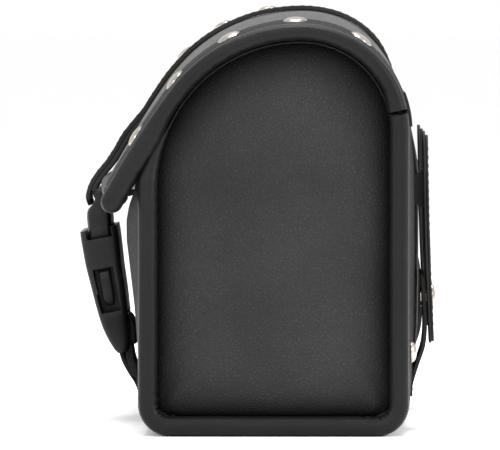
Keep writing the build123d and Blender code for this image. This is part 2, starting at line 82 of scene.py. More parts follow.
@dataclass(frozen=True)
class Stretch:
    """A straight or round stretch of a line in the XZ plane, with its outward side known.

    A round stretch has a centre and radius and runs between two angles in degrees. A straight
    one has radius 0 and runs from start to finish, and its angle is that of its outward normal.
    """

    centre: Vector
    radius: float
    start: float
    finish: float
    tip: Vector | None = None

    @property
    def length(self) -> float:
        """Length at no inset."""
        if self.tip is not None:
            return (self.tip - self.centre).length
        return self.radius * abs(math.radians(self.finish - self.start))

    def at(self, share: float, inset: float) -> tuple[Vector, Vector]:
        """Point and outward normal.

        Args:
            share: how far along the stretch, from 0 to 1.
            inset: distance inwards from the line.

        Returns:
            The point and the normal, both in X and Z.
        """
        angle = math.radians(self.start + (self.finish - self.start) * share)
        normal = Vector((math.cos(angle), math.sin(angle)))
        if self.tip is not None:
            return self.centre.lerp(self.tip, share) - normal * inset, normal
        return self.centre + normal * (self.radius - inset), normal


@dataclass(frozen=True)
class Line:
    """Stretches joined end to end, followed by arc length."""

    stretches: tuple[Stretch, ...]

    @property
    def length(self) -> float:
        """Whole length at no inset."""
        return sum(s.length for s in self.stretches)

    def at(self, along: float, inset: float = 0.0) -> tuple[Vector, Vector]:
        """Point and outward normal at an arc length and an inset.

        Args:
            along: arc length.
            inset: distance inwards from the line.

        Returns:
            The point and the normal.
        """
        rest = max(along, 0.0)
        for stretch in self.stretches:
            if rest <= stretch.length or stretch is self.stretches[-1]:
                return stretch.at(rest / stretch.length, inset)
            rest -= stretch.length
        raise ValueError("a line needs at least one stretch")


@dataclass
class CaseLines:
    """The case's end view and the lid's line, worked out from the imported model."""

    apex_x: float = 11.0 * MM
    corner: float = 13.0 * MM
    hinge_rise: float = 8.9 * MM
    flare_rise: float = 38.9 * MM
    flare_radius: float = 358.0 * MM
    flare_length: float = 47.5 * MM
    rim: float = 8.0 * MM
    half_width: float = field(init=False)
    height: float = field(init=False)
    half_length: float = field(init=False)
    panel_half: float = field(init=False)

    def __post_init__(self) -> None:
        """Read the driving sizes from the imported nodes."""
        low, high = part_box("end_rim_near")
        self.half_width = (high[0] - low[0]) / 2
        self.half_length = -low[1]
        self.panel_half = -high[1]
        self.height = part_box("lid_roll_near")[1][2]

    @property
    def left_radius(self) -> float:
        """Radius of the arch's front curve."""
        return self.half_width + self.apex_x

    @property
    def right_radius(self) -> float:
        """Radius of the arch's back curve."""
        return self.half_width - self.apex_x

    @property
    def left_centre(self) -> Vector:
        """Centre of the arch's front curve."""
        return Vector((self.apex_x, self.height - self.left_radius))

    @property
    def right_centre(self) -> Vector:
        """Centre of the arch's back curve."""
        return Vector((self.apex_x, self.height - self.right_radius))

    def body(self) -> Line:
        """Closed outline from the middle of the base, up the back, over and down the front.

        Returns:
            The line, closed.
        """
        wide, corner = self.half_width, self.corner
        flat = Vector((wide - corner, 0.0))
        return Line((
            Stretch(Vector((0, 0)), 0, -90, -90, flat),
            Stretch(Vector((wide - corner, corner)), corner, -90, 0),
            Stretch(Vector((wide, corner)), 0, 0, 0, Vector((wide, self.right_centre.y))),
            Stretch(self.right_centre, self.right_radius, 0, 90),
            Stretch(self.left_centre, self.left_radius, 90, 180),
            Stretch(Vector((-wide, self.left_centre.y)), 0, 180, 180, Vector((-wide, corner))),
            Stretch(Vector((corner - wide, corner)), corner, 180, 270),
            Stretch(Vector((corner - wide, 0)), 0, -90, -90, Vector((0, 0))),
        ))

    @property
    def hinge_angle(self) -> float:
        """Angle of the hinge on the arch's back curve."""
        return math.degrees(math.asin(self.hinge_rise / self.right_radius))

    def lid(self) -> Line:
        """Line of the lid from the hinge over the arch to its front edge.

        Returns:
            The line, open.
        """
        leave = 180 - math.degrees(math.asin(self.flare_rise / self.left_radius))
        turn = math.radians(leave)
        out = Vector((math.cos(turn), math.sin(turn)))
        centre = self.left_centre + out * (self.left_radius - self.flare_radius)
        sweep = math.degrees(self.flare_length / self.flare_radius)
        return Line((
            Stretch(self.right_centre, self.right_radius, self.hinge_angle, 90),
            Stretch(self.left_centre, self.left_radius, 90, leave),
            Stretch(centre, self.flare_radius, leave, leave + sweep),
        ))

    def body_marks(self) -> dict[str, float]:
        """Arc lengths along the body's outline of the places that pieces start and end at.

        Returns:
            Arc length by name of the place.
        """
        marks, total = {}, 0.0
        names = ("back_corner", "back", "arch_back", "apex", "arch_front", "front", "base", "end")
        for name, stretch in zip(names, self.body().stretches):
            total += stretch.length
            marks[name] = total
        marks["hinge"] = marks["arch_back"] + self.right_radius * math.radians(self.hinge_angle)
        return marks


LINES = CaseLines()
BODY_LINE = LINES.body()
LID_LINE = LINES.lid()
MARKS = LINES.body_marks()


def at_xz(point: Vector, y: float) -> Vector:
    """Point in space from a point in X and Z, and Y."""
    return Vector((point.x, y, point.y))


def smooth(low: float, high: float, value: float) -> float:
    """Smooth step from 0 at low to 1 at high."""
    share = min(max((value - low) / (high - low), 0.0), 1.0)
    return share * share * (3 - 2 * share)


def stepped(table: Sequence[tuple[float, float]], value: float) -> float:
    """Smooth reading of a falling table of places and values.

    Args:
        table: pairs of place and value, with the places falling.
        value: place to read at.

    Returns:
        The value there.
    """
    for (p0, v0), (p1, v1) in zip(table, table[1:]):
        if value >= p1:
            return v0 + (v1 - v0) * min(max((p0 - value) / (p0 - p1), 0.0), 1.0)
    return table[-1][1]


def ripple(x: float, y: float, z: float, scale: float) -> float:
    """Repeatable noise from -1 to 1, with features about 1/scale metres across."""
    return noise.noise(Vector((x, y, z)) * scale)


def lid_height(along: float, y: float) -> float:
    """How far the lid's padded skin stands above the lid's line.

    It starts a little below the line at the side rolls, swells towards the middle, and is
    pressed down under the centre strap.

    Args:
        along: arc length from the hinge.
        y: place along the case.

    Returns:
        The height in metres.
    """
    share = along / LID_LINE.length
    crown = 1.6 * MM + 4.9 * MM * smooth(0, 0.3, share) * (1 - 0.42 * smooth(0.45, 1.0, share))
    across = max(1 - (y / LINES.panel_half) ** 2, 0.0) ** 0.85
    pressed = 1.3 * MM * (1 - smooth(16 * MM, 23 * MM, abs(y)))
    waves = 0.35 * MM * ripple(along, y, 0.3, 26) + 0.12 * MM * ripple(along, y, 1.7, 75)
    return (crown + waves) * across - 1.3 * MM - pressed * (1 - 0.6 * smooth(0.9, 1.0, share))


def on_lid(along: float, y: float, above: float) -> Vector:
    """Point above the lid's skin."""
    point, _ = LID_LINE.at(along, -above - lid_height(along, y))
    return at_xz(point, y)


# ---- Mesh making ------------------------------------------------------------------------------

def loft(section: Sequence[tuple[float, float]], stations: Sequence[float], place: Place,
         ring: bool = True, loop: bool = False, cap: bool = True) -> bmesh.types.BMesh:
    """Extrude a section from station to station and put each new row in place.

    Args:
        section: two values for each point of the section, handed on to place.
        stations: one value for each row, handed on to place.
        place: gives a point from a station and a section point's two values.
        ring: the section is closed.
        loop: the last row joins the first.
        cap: close the ends of a ring that isn't a loop.

    Returns:
        The mesh, with an "along" and "across" UV layer in metres.
    """
    bm = bmesh.new()
    number = bm.verts.layers.int.new("number")
    row_layer = bm.verts.layers.int.new("row")
    row = []
    for n, (u, v) in enumerate(section):
        vert = bm.verts.new(place(stations[0], u, v))
        vert[number] = n
        row.append(vert)
    edges = [bm.edges.new(pair) for pair in zip(row, row[1:])]
    if ring:
        edges.append(bm.edges.new((row[-1], row[0])))
    first = list(edges)
    for n, station in enumerate(stations[1:], 1):
        made = bmesh.ops.extrude_edge_only(bm, edges=edges)["geom"]
        for vert in (g for g in made if isinstance(g, bmesh.types.BMVert)):
            vert.co = place(station, *section[vert[number]])
            vert[row_layer] = n
        new_edges = [g for g in made if isinstance(g, bmesh.types.BMEdge)]
        edges = [e for e in new_edges if e.verts[0][row_layer] == n and e.verts[1][row_layer] == n]
    if loop:
        bmesh.ops.bridge_loops(bm, edges=first + edges)
    elif ring and cap:
        for end in (first, edges):
            bmesh.ops.contextual_create(bm, geom=end)
    lay_uv(bm, section, stations, place, number, row_layer)
    return bm


def lay_uv(bm: bmesh.types.BMesh, section: Sequence[tuple[float, float]], stations: Sequence[float],
           place: Place, number: object, row_layer: object) -> None:
    """Give a lofted mesh a UV map in metres: along the stations, and round the section.

    Args:
        bm: the lofted mesh.
        section: the section that it was made from.
        stations: its rows.
        place: the function that placed its points.
        number: layer with each point's place in the section.
        row_layer: layer with each point's row.
    """
    middle = stations[len(stations) // 2]
    points = [place(middle, u, v) for u, v in section]
    across = [0.0]
    for a, b in zip(points, points[1:]):
        across.append(across[-1] + (b - a).length)
    rows = [place(s, *section[0]) for s in stations]
    along = [0.0]
    for a, b in zip(rows, rows[1:]):
        along.append(along[-1] + (b - a).length)
    uv = bm.loops.layers.uv.new("UVMap")
    for face in bm.faces:
        for corner in face.loops:
            corner[uv].uv = (along[corner.vert[row_layer]], across[corner.vert[number]])


def spread(low: float, high: float, count: int) -> list[float]:
    """Evenly spaced values, both ends included."""
    return [low + (high - low) * n / (count - 1) for n in range(count)]


def slab_section(half_width: float, thickness: float, edge: float, steps: int = 8
                 ) -> list[tuple[float, float]]:
    """Ring for a strap: flat top and bottom and round edges.

    Args:
        half_width: half of the width.
        thickness: from the underside at 0 up to the top.
        edge: radius of the round edges.
        steps: points across each flat side.

    Returns:
        Pairs of distance across and height.
    """
    ring = []
    for sx, sy in ((1, -1), (1, 1), (-1, 1), (-1, -1)):
        for n in range(4):
            turn = n / 3 * math.pi / 2
            first, second = math.cos(turn), math.sin(turn)
            if sx * sy < 0:
                first, second = second, first
            ring.append((sx * (half_width - edge + edge * first),
                         thickness / 2 + sy * (thickness / 2 - edge + edge * second)))
    full = []
    for a, b in zip(ring, ring[1:] + ring[:1]):
        full.append(a)
        if abs(a[0] - b[0]) > half_width:
            full += [(a[0] + (b[0] - a[0]) * n / steps, a[1]) for n in range(1, steps)]
    return full


@dataclass
class Piece:
    """One finished piece: its mesh, what it moves with and what it is made of."""

    name: str
    body: str
    slot: str
    materials: Sequence[bpy.types.Material]
    replaces: Sequence[str] = ()
    crease: float = 40.0

    def make(self, bm: bmesh.types.BMesh) -> bpy.types.Object:
        """Turn a bmesh into the piece's object, and let it ride on its body.

        Args:
            bm: the mesh, which is freed.

        Returns:
            The object.
        """
        bmesh.ops.remove_doubles(bm, verts=bm.verts, dist=1e-6)
        bmesh.ops.recalc_face_normals(bm, faces=bm.faces)
        mesh = bpy.data.meshes.new(self.name)
        bm.to_mesh(mesh)
        bm.free()
        for material in self.materials:
            mesh.materials.append(material)
        mesh.polygons.foreach_set("use_smooth", [True] * len(mesh.polygons))
        mesh.set_sharp_from_angle(angle=math.radians(self.crease))
        obj = bpy.data.objects.new(self.name, mesh)
        bpy.context.scene.collection.objects.link(obj)
        if self.replaces:
            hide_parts(*self.replaces)
        if self.body:
            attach(obj, self.body)
        LOG.info("%s: %d faces on %s", self.name, len(mesh.polygons), self.body)
        return obj


def thicken(obj: bpy.types.Object, thickness: float, offset: float = -1.0) -> None:
    """Give a sheet its thickness with a modifier.

    Args:
        obj: the sheet.
        thickness: its thickness.
        offset: -1 grows inwards, 1 outwards.
    """
    wall = obj.modifiers.new("wall", "SOLIDIFY")
    wall.thickness = thickness
    wall.offset = offset
    wall.use_even_offset = True


def bevel_edges(obj: bpy.types.Object, width: float, segments: int = 2) -> None:
    """Break the sharp edges of a moulded or cut piece.

    Args:
        obj: the piece.
        width: width of the bevel.
        segments: steps across it.
    """
    edge = obj.modifiers.new("edge", "BEVEL")
    edge.width = width
    edge.segments = segments
    edge.limit_method = "ANGLE"
    edge.angle_limit = math.radians(28)
    edge.profile = 0.5


def frame_on(point: Vector, normal: Vector, forward: Vector) -> Matrix:
    """Matrix with Z along a normal and X as near to forward as it can be.

    Args:
        point: its origin.
        normal: direction of Z.
        forward: direction that X leans to.

    Returns:
        The matrix.
    """
    up = normal.normalized()
    side = up.cross(forward).normalized()
    ahead = side.cross(up)
    turn = Matrix((ahead, side, up)).transposed().to_4x4()
    return Matrix.Translation(point) @ turn


def add_stitches(bm: bmesh.types.BMesh, spots: Sequence[Matrix], length: float = 2.3 * MM,
                 thick: float = 0.27 * MM) -> None:
    """Lay one stitch at each place: a short bead of thread along its X.

    Args:
        bm: mesh that they are added to.
        spots: the places, with Z outwards.
        length: length of a stitch.
        thick: half its thickness; most of it is sunk in the leather.
    """
    shape = Matrix.Diagonal((length / 2, thick, thick, 1))
    for spot in spots:
        sunk = Matrix.Translation(Vector((0, 0, -0.55 * thick)))
        bmesh.ops.create_uvsphere(bm, u_segments=6, v_segments=4, radius=1.0, matrix=spot @ sunk @ shape)


def merge(bm: bmesh.types.BMesh, part: bmesh.types.BMesh) -> None:
    """Move everything in one mesh into another.

    Args:
        bm: the mesh that takes it.
        part: the mesh that is emptied and freed.
    """
    spare = bpy.data.meshes.new("spare")
    part.to_mesh(spare)
    part.free()
    bm.from_mesh(spare)
    bpy.data.meshes.remove(spare)


def add_turned(bm: bmesh.types.BMesh, profile: Sequence[tuple[float, float]], place: Matrix,
               steps: int = 20) -> None:
    """Spin a profile about Z and put it in place.

    Args:
        bm: mesh that it is added to.
        profile: pairs of radius and height, the last on the axis.
        place: where it goes.
        steps: segments round.
    """
    part = bmesh.new()
    verts = [part.verts.new((radius, 0, height)) for radius, height in profile]
    edges = [part.edges.new(pair) for pair in zip(verts, verts[1:])]
    bmesh.ops.spin(part, geom=verts + edges, cent=(0, 0, 0), axis=(0, 0, 1), dvec=(0, 0, 0),
                   angle=math.tau, steps=steps, use_merge=True, use_normal_flip=False, use_duplicate=False)
    bmesh.ops.remove_doubles(part, verts=part.verts, dist=1e-6)
    bmesh.ops.holes_fill(part, edges=part.edges, sides=0)
    bmesh.ops.recalc_face_normals(part, faces=part.faces)
    bmesh.ops.transform(part, matrix=place, verts=part.verts)
    merge(bm, part)


def dome_profile(radius: float, height: float, flange: float = 0.0) -> list[tuple[float, float]]:
    """Profile of a domed stud with a thin flat edge.

    Args:
        radius: radius of the dome.
        height: its height.
        flange: width of the flat edge.

    Returns:
        Pairs of radius and height.
    """
    lip = 0.35 * MM
    profile = [(radius + flange, 0.0), (radius + flange, lip), (radius * 0.97, lip * 1.15)]
    for n in range(1, 7):
        turn = n / 6 * math.pi / 2
        profile.append((radius * 0.95 * math.cos(turn), lip + (height - lip) * math.sin(turn)))
    return profile


# ---- Finishes ---------------------------------------------------------------------------------

class Graph:
    """Short way to add and link nodes in one node tree."""

    def __init__(self, tree: bpy.types.NodeTree) -> None:
        """Keep the tree."""
        self.tree = tree

    def node(self, kind: str, inputs: dict | None = None, **options: object) -> bpy.types.Node:
        """Add a node.

        Args:
            kind: Blender's node type.
            inputs: socket name or number to a value or an output socket.
            options: attributes of the node.

        Returns:
            The node.
        """
        made = self.tree.nodes.new(kind)
        for key, value in options.items():
            setattr(made, key, value)
        for key, value in (inputs or {}).items():
            if isinstance(value, bpy.types.NodeSocket):
                self.tree.links.new(value, made.inputs[key])
            else:
                made.inputs[key].default_value = value
        return made

    def math(self, operation: str, a: object, b: object = 0.0, clamp: bool = False) -> bpy.types.NodeSocket:
        """One Math node's output."""
        return self.node("ShaderNodeMath", {0: a, 1: b}, operation=operation, use_clamp=clamp).outputs[0]

    def span(self, value: object, low: float, high: float, to_low: float = 0.0, to_high: float = 1.0
             ) -> bpy.types.NodeSocket:
        """Map a range onto another, clamped."""
        limits = {0: value, 1: low, 2: high, 3: to_low, 4: to_high}
        return self.node("ShaderNodeMapRange", limits).outputs[0]

    def mix(self, factor: object, a: object, b: object) -> bpy.types.NodeSocket:
        """Mix two colours.

        Args:
            factor: socket or value; 0 gives the first colour.
            a: first colour or its socket.
            b: second colour or its socket.

        Returns:
            The mixed colour.
        """
        made = self.node("ShaderNodeMix", data_type="RGBA")
        for socket, value in ((made.inputs[0], factor), (made.inputs[6], a), (made.inputs[7], b)):
            if isinstance(value, bpy.types.NodeSocket):
                self.tree.links.new(value, socket)
            else:
                socket.default_value = value
        return made.outputs[2]


def new_group(name: str, inputs: dict[str, tuple[str, float | None]], outputs: Sequence[str]
              ) -> tuple[bpy.types.NodeTree, Graph, bpy.types.Node, bpy.types.Node]:
    """Start a shader node group with named sockets.

    Args:
        name: name of the group.
        inputs: name of each input, with its socket type and default.
        outputs: names of the outputs, all single values.

    Returns:
        The tree, its graph, and its input and output nodes.
    """
    tree = bpy.data.node_groups.new(name, "ShaderNodeTree")
    for label, (kind, value) in inputs.items():
        socket = tree.interface.new_socket(label, in_out="INPUT", socket_type=kind)
        if value is not None:
            socket.default_value = value
    for label in outputs:
        tree.interface.new_socket(label, in_out="OUTPUT", socket_type="NodeSocketFloat")
    graph = Graph(tree)
    return tree, graph, graph.node("NodeGroupInput"), graph.node("NodeGroupOutput")


def grain_group() -> bpy.types.NodeTree:
    """Leather grain: pebbles, creases, and a slow change of tone.

    Returns:
        The node group.
    """
    tree, g, start, end = new_group(
        "leather_grain",
        {"Vector": ("NodeSocketVector", None), "Pebbles": ("NodeSocketFloat", 900.0),
         "Creases": ("NodeSocketFloat", 45.0), "Crease Depth": ("NodeSocketFloat", 0.4)},
        ("Height", "Tone", "Pits"))
    vector = start.outputs["Vector"]
    bend = g.node("ShaderNodeTexNoise", {"Vector": vector, "Scale": 260.0, "Detail": 2.0})
    shift = g.node("ShaderNodeVectorMath", {0: bend.outputs["Color"], 1: (0.0009, 0.0009, 0.0009)},
                   operation="MULTIPLY")
    moved = g.node("ShaderNodeVectorMath", {0: vector, 1: shift.outputs[0]}, operation="ADD").outputs[0]
    cells = g.node("ShaderNodeTexVoronoi", {"Vector": moved, "Scale": start.outputs["Pebbles"]},
                   feature="DISTANCE_TO_EDGE")
    pebble = g.span(cells.outputs["Distance"], 0.0, 0.28)
    fine = g.node("ShaderNodeTexNoise", {"Vector": vector, "Scale": 3200.0, "Detail": 3.0})
    crease = g.node("ShaderNodeTexNoise", {"Vector": vector, "Scale": start.outputs["Creases"],
                                           "Detail": 5.0, "Roughness": 0.62, "Distortion": 0.6})
    fold = g.math("ABSOLUTE", g.math("SUBTRACT", crease.outputs["Fac"], 0.5))
    fold = g.math("MULTIPLY", g.span(fold, 0.0, 0.06), start.outputs["Crease Depth"])
    height = g.math("ADD", g.math("MULTIPLY", pebble, 0.75), g.math("MULTIPLY", fine.outputs["Fac"], 0.2))
    height = g.math("ADD", height, fold)
    slow = g.node("ShaderNodeTexNoise", {"Vector": vector, "Scale": 22.0, "Detail": 4.0})
    g.tree.links.new(height, end.inputs["Height"])
    g.tree.links.new(g.span(slow.outputs["Fac"], 0.3, 0.7), end.inputs["Tone"])
    g.tree.links.new(g.math("SUBTRACT", 1.0, pebble, clamp=True), end.inputs["Pits"])
    return tree


def scuff_group() -> bpy.types.NodeTree:
    """Sparse scratches and rubbed patches.

    Returns:
        The node group.
    """
    tree, g, start, end = new_group(
        "scuffs", {"Vector": ("NodeSocketVector", None), "Scale": ("NodeSocketFloat", 60.0)}, ("Mask",))
    stretch = g.node("ShaderNodeMapping", {"Vector": start.outputs["Vector"], "Scale": (1.0, 0.25, 2.2)})
    lines = g.node("ShaderNodeTexNoise", {"Vector": stretch.outputs[0], "Scale": start.outputs["Scale"],
                                          "Detail": 8.0, "Roughness": 0.75})
    patch = g.node("ShaderNodeTexNoise", {"Vector": start.outputs["Vector"], "Scale": 14.0, "Detail": 3.0})
    both = g.math("MULTIPLY", g.span(lines.outputs["Fac"], 0.56, 0.72),
                  g.span(patch.outputs["Fac"], 0.48, 0.66))
    g.tree.links.new(both, end.inputs["Mask"])
    return tree


def weave_group() -> bpy.types.NodeTree:
    """Ribbed webbing: a herringbone of ribs from the piece's own UV map, with painted shade in the low grooves.

    Returns:
        The node group.
    """
    tree, g, start, end = new_group(
        "weave", {"Vector": ("NodeSocketVector", None), "Pitch": ("NodeSocketFloat", 900.0)},
        ("Height", "Dark"))
    parts = g.node("ShaderNodeSeparateXYZ", {0: start.outputs["Vector"]})
    along = g.math("MULTIPLY", parts.outputs[0], start.outputs["Pitch"])
    across = g.math("MULTIPLY", parts.outputs[1], start.outputs["Pitch"])
    zigzag = g.math("PINGPONG", across, 2.2)
    ribs = g.math("SINE", g.math("MULTIPLY", g.math("ADD", along, zigzag), 6.2832))
    cords = g.math("SINE", g.math("MULTIPLY", across, 3.1416))
    height = g.math("ADD", g.math("MULTIPLY", ribs, 0.35),
                    g.math("MULTIPLY", g.math("ABSOLUTE", cords), 0.5))
    g.tree.links.new(height, end.inputs["Height"])
    # Painted shade: darker where the weave is low, in the grooves between ribs.
    g.tree.links.new(g.span(height, -0.3, 0.6, 1.0, 0.0), end.inputs["Dark"])
    return tree


Colour = tuple[float, float, float, float]


def grey(value: float, warmth: float = 0.0) -> Colour:
    """Grey with a little warmth or coolness."""
    return (value * (1 + warmth), value, value * (1 - warmth), 1.0)


@dataclass(frozen=True)
class Finish:
    """What every finish has: its name, its darkest and lightest tone, and one shader.

    The tree goes from the piece's coordinates through shared groups to one shader.
    """

    name: str
    dark: Colour
    light: Colour

    def open_graph(self) -> tuple[bpy.types.Material, Graph]:
        """New material with an empty node tree."""
        material = bpy.data.materials.new(self.name)
        material.use_nodes = True
        material.node_tree.nodes.clear()
        return material, Graph(material.node_tree)

    @staticmethod
    def close_graph(g: Graph, height: bpy.types.NodeSocket, depth: float, inputs: dict) -> None:
        """Add the bump, the shader and the output.

        Args:
            g: the material's graph.
            height: bump height, from 0 to 1.
            depth: how deep the bump is, in metres.
            inputs: the shader's other inputs.
        """
        bump = g.node("ShaderNodeBump", {"Height": height, "Strength": 1.0, "Distance": depth})
        shader = g.node("ShaderNodeBsdfPrincipled", {**inputs, "Normal": bump.outputs[0]})
        g.node("ShaderNodeOutputMaterial", {"Surface": shader.outputs[0]})


@dataclass(frozen=True)
class Leather(Finish):
    """Coloured leather with grain, creases and rubbed places, and painted shade where a shade attribute is
    named.
    """

    rough: float = 0.5
    pebbles: float = 900.0
    depth: float = 0.16 * MM
    creases: float = 45.0
    crease_depth: float = 0.4
    scuff: float = 0.25
    specular: float = 0.2
    ior: float = 1.4
    # shade: mesh attribute that holds painted shade; shade_tone: how dark that painted shade gets.
    shade: str = ""
    pit_tone: float = 0.4
    rubbed_tone: float = 2.6
    shade_tone: float = 0.04

    def build(self) -> bpy.types.Material:
        """Make the material.

        Returns:
            The material.
        """
        material, g = self.open_graph()
        spot = g.node("ShaderNodeTexCoord").outputs["Object"]
        grain = g.node("ShaderNodeGroup", node_tree=GROUPS["grain"])
        scuffs = g.node("ShaderNodeGroup", node_tree=GROUPS["scuffs"])
        g.tree.links.new(spot, grain.inputs["Vector"])
        g.tree.links.new(spot, scuffs.inputs["Vector"])
        grain.inputs["Pebbles"].default_value = self.pebbles
        grain.inputs["Creases"].default_value = self.creases
        grain.inputs["Crease Depth"].default_value = self.crease_depth
        tone = g.mix(grain.outputs["Tone"], self.dark, self.light)
        pits = g.math("MULTIPLY", grain.outputs["Pits"], 0.35)
        tone = g.mix(pits, tone, grey(self.dark[1] * self.pit_tone))
        rubbed = g.math("MULTIPLY", scuffs.outputs["Mask"], self.scuff)
        tone = g.mix(rubbed, tone, grey(self.light[1] * self.rubbed_tone))
        # Painted shade: darken the colour towards shade_tone by the named mesh attribute, standing in for the
        # shadow in a recess.
        if self.shade:
            deep = g.node("ShaderNodeAttribute", attribute_name=self.shade, attribute_type="GEOMETRY")
            tone = g.mix(deep.outputs["Fac"], tone, grey(self.dark[1] * self.shade_tone))
        rough = g.math("ADD", g.math("MULTIPLY", grain.outputs["Pits"], 0.14), self.rough)
        rough = g.math("ADD", rough, g.math("MULTIPLY", scuffs.outputs["Mask"], 0.12), clamp=True)
        self.close_graph(g, grain.outputs["Height"], self.depth, {
            "Base Color": tone, "Roughness": rough, "Specular IOR Level": self.specular, "IOR": self.ior})
        return material


@dataclass(frozen=True)
class Moulded(Finish):
    """Moulded or coated surface with a fine texture: plastic, board, cut leather edge or thread."""

    rough: float = 0.5
    texture: float = 2600.0
    depth: float = 0.03 * MM
    scuff: float = 0.2
    metallic: float = 0.0
    scuff_scale: float = 160.0
    rubbed_tone: float = 1.8

    def build(self) -> bpy.types.Material:
        """Make the material.

        Returns:
            The material.
        """
        material, g = self.open_graph()
        spot = g.node("ShaderNodeTexCoord").outputs["Object"]
        fine = g.node("ShaderNodeTexNoise", {"Vector": spot, "Scale": self.texture, "Detail": 3.0})
        slow = g.node("ShaderNodeTexNoise", {"Vector": spot, "Scale": self.texture / 40, "Detail": 4.0})
        scuffs = g.node("ShaderNodeGroup", node_tree=GROUPS["scuffs"])
        g.tree.links.new(spot, scuffs.inputs["Vector"])
        scuffs.inputs["Scale"].default_value = self.scuff_scale
        tone = g.mix(g.span(slow.outputs["Fac"], 0.35, 0.65), self.dark, self.light)
        rubbed = g.math("MULTIPLY", scuffs.outputs["Mask"], self.scuff)
        tone = g.mix(rubbed, tone, grey(self.light[1] * self.rubbed_tone))
        rough = g.span(slow.outputs["Fac"], 0.3, 0.7, self.rough - 0.05, self.rough + 0.07)
        self.close_graph(g, fine.outputs["Fac"], self.depth, {
            "Base Color": tone, "Roughness": rough, "Metallic": self.metallic,
            "Specular IOR Level": 0.5 if self.metallic else 0.2})
        return material


@dataclass(frozen=True)
class Webbing(Finish):
    """Woven nylon webbing, patterned along the piece's UV map, with painted shade in its grooves."""

    rough: float = 0.68
    depth: float = 0.25 * MM
    sheen: float = 0.05
    specular: float = 0.12

    def build(self) -> bpy.types.Material:
        """Make the material.

        Returns:
            The material.
        """
        material, g = self.open_graph()
        weave = g.node("ShaderNodeGroup", node_tree=GROUPS["weave"])
        g.tree.links.new(g.node("ShaderNodeTexCoord").outputs["UV"], weave.inputs["Vector"])
        # Painted shade: the groove mask darkens the webbing's colour.
        tone = g.mix(weave.outputs["Dark"], self.light, self.dark)
        self.close_graph(g, weave.outputs["Height"], self.depth, {
            "Base Color": tone, "Roughness": self.rough, "Sheen Weight": self.sheen, "Sheen Roughness": 0.5,
            "Specular IOR Level": self.specular})
        return material


# Mesh attribute of painted shade on the end panels: dark next to the rim, where the recess is shaded.
PANEL_SHADE = "edge_shade"
GROUPS = {"grain": grain_group(), "scuffs": scuff_group(), "weave": weave_group()}
# Case leather: its own near-black colour, set darker than the panel leather partly as painted shade, since the
# front skin lies in the lid's shadow.
CASE_LEATHER = Leather("case_leather", grey(0.009), grey(0.016), rough=0.55, pebbles=700, depth=0.2 * MM,
                       scuff=0.12, specular=0.14, ior=1.3).build()
PANEL_LEATHER = Leather("panel_leather", grey(0.022), grey(0.034), rough=0.55, pebbles=700,
                        depth=0.22 * MM, scuff=0.1, specular=0.1, ior=1.3, shade=PANEL_SHADE).build()
ROLL_LEATHER = Leather("roll_leather", grey(0.0045, -0.03), grey(0.008, -0.03), rough=0.36, pebbles=1000,
                       depth=0.07 * MM, creases=60, crease_depth=0.5, scuff=0.2).build()
LID_LEATHER = Leather("lid_leather", grey(0.009, -0.03), grey(0.015, -0.03), rough=0.3, pebbles=620,
                      depth=0.06 * MM, creases=30, crease_depth=0.7, scuff=0.3, specular=0.24,
                      ior=1.45).build()
STRAP_LEATHER = Leather("strap_leather", grey(0.0075), grey(0.013), rough=0.45, pebbles=700,
                        depth=0.14 * MM, scuff=0.35, specular=0.12, ior=1.35).build()
CUT_EDGE = Moulded("cut_edge", grey(0.011, 0.04), grey(0.022, 0.04), rough=0.8, texture=1400,
                   depth=0.14 * MM, scuff=0.4).build()
THREAD = Moulded("thread", grey(0.006), grey(0.012), rough=0.55, texture=5000, depth=0.08 * MM).build()
NICKEL = Moulded("nickel", (0.4, 0.36, 0.32, 1), (0.52, 0.47, 0.42, 1), rough=0.26, texture=1800,
                 depth=0.006 * MM, scuff=0.1, metallic=1.0).build()
PLASTIC = Moulded("buckle_plastic", grey(0.0045), grey(0.007), rough=0.36, texture=3400,
                  depth=0.02 * MM, scuff=0.25).build()
BOARD = Moulded("stiffener_board", grey(0.02), grey(0.03), rough=0.85, texture=1500,
                depth=0.1 * MM).build()
LINING = Moulded("lining_cloth", grey(0.018), grey(0.026), rough=0.9, texture=2000,
                 depth=0.12 * MM).build()
NYLON = Webbing("webbing", grey(0.005), grey(0.015)).build()


# ---- Case body --------------------------------------------------------------------------------

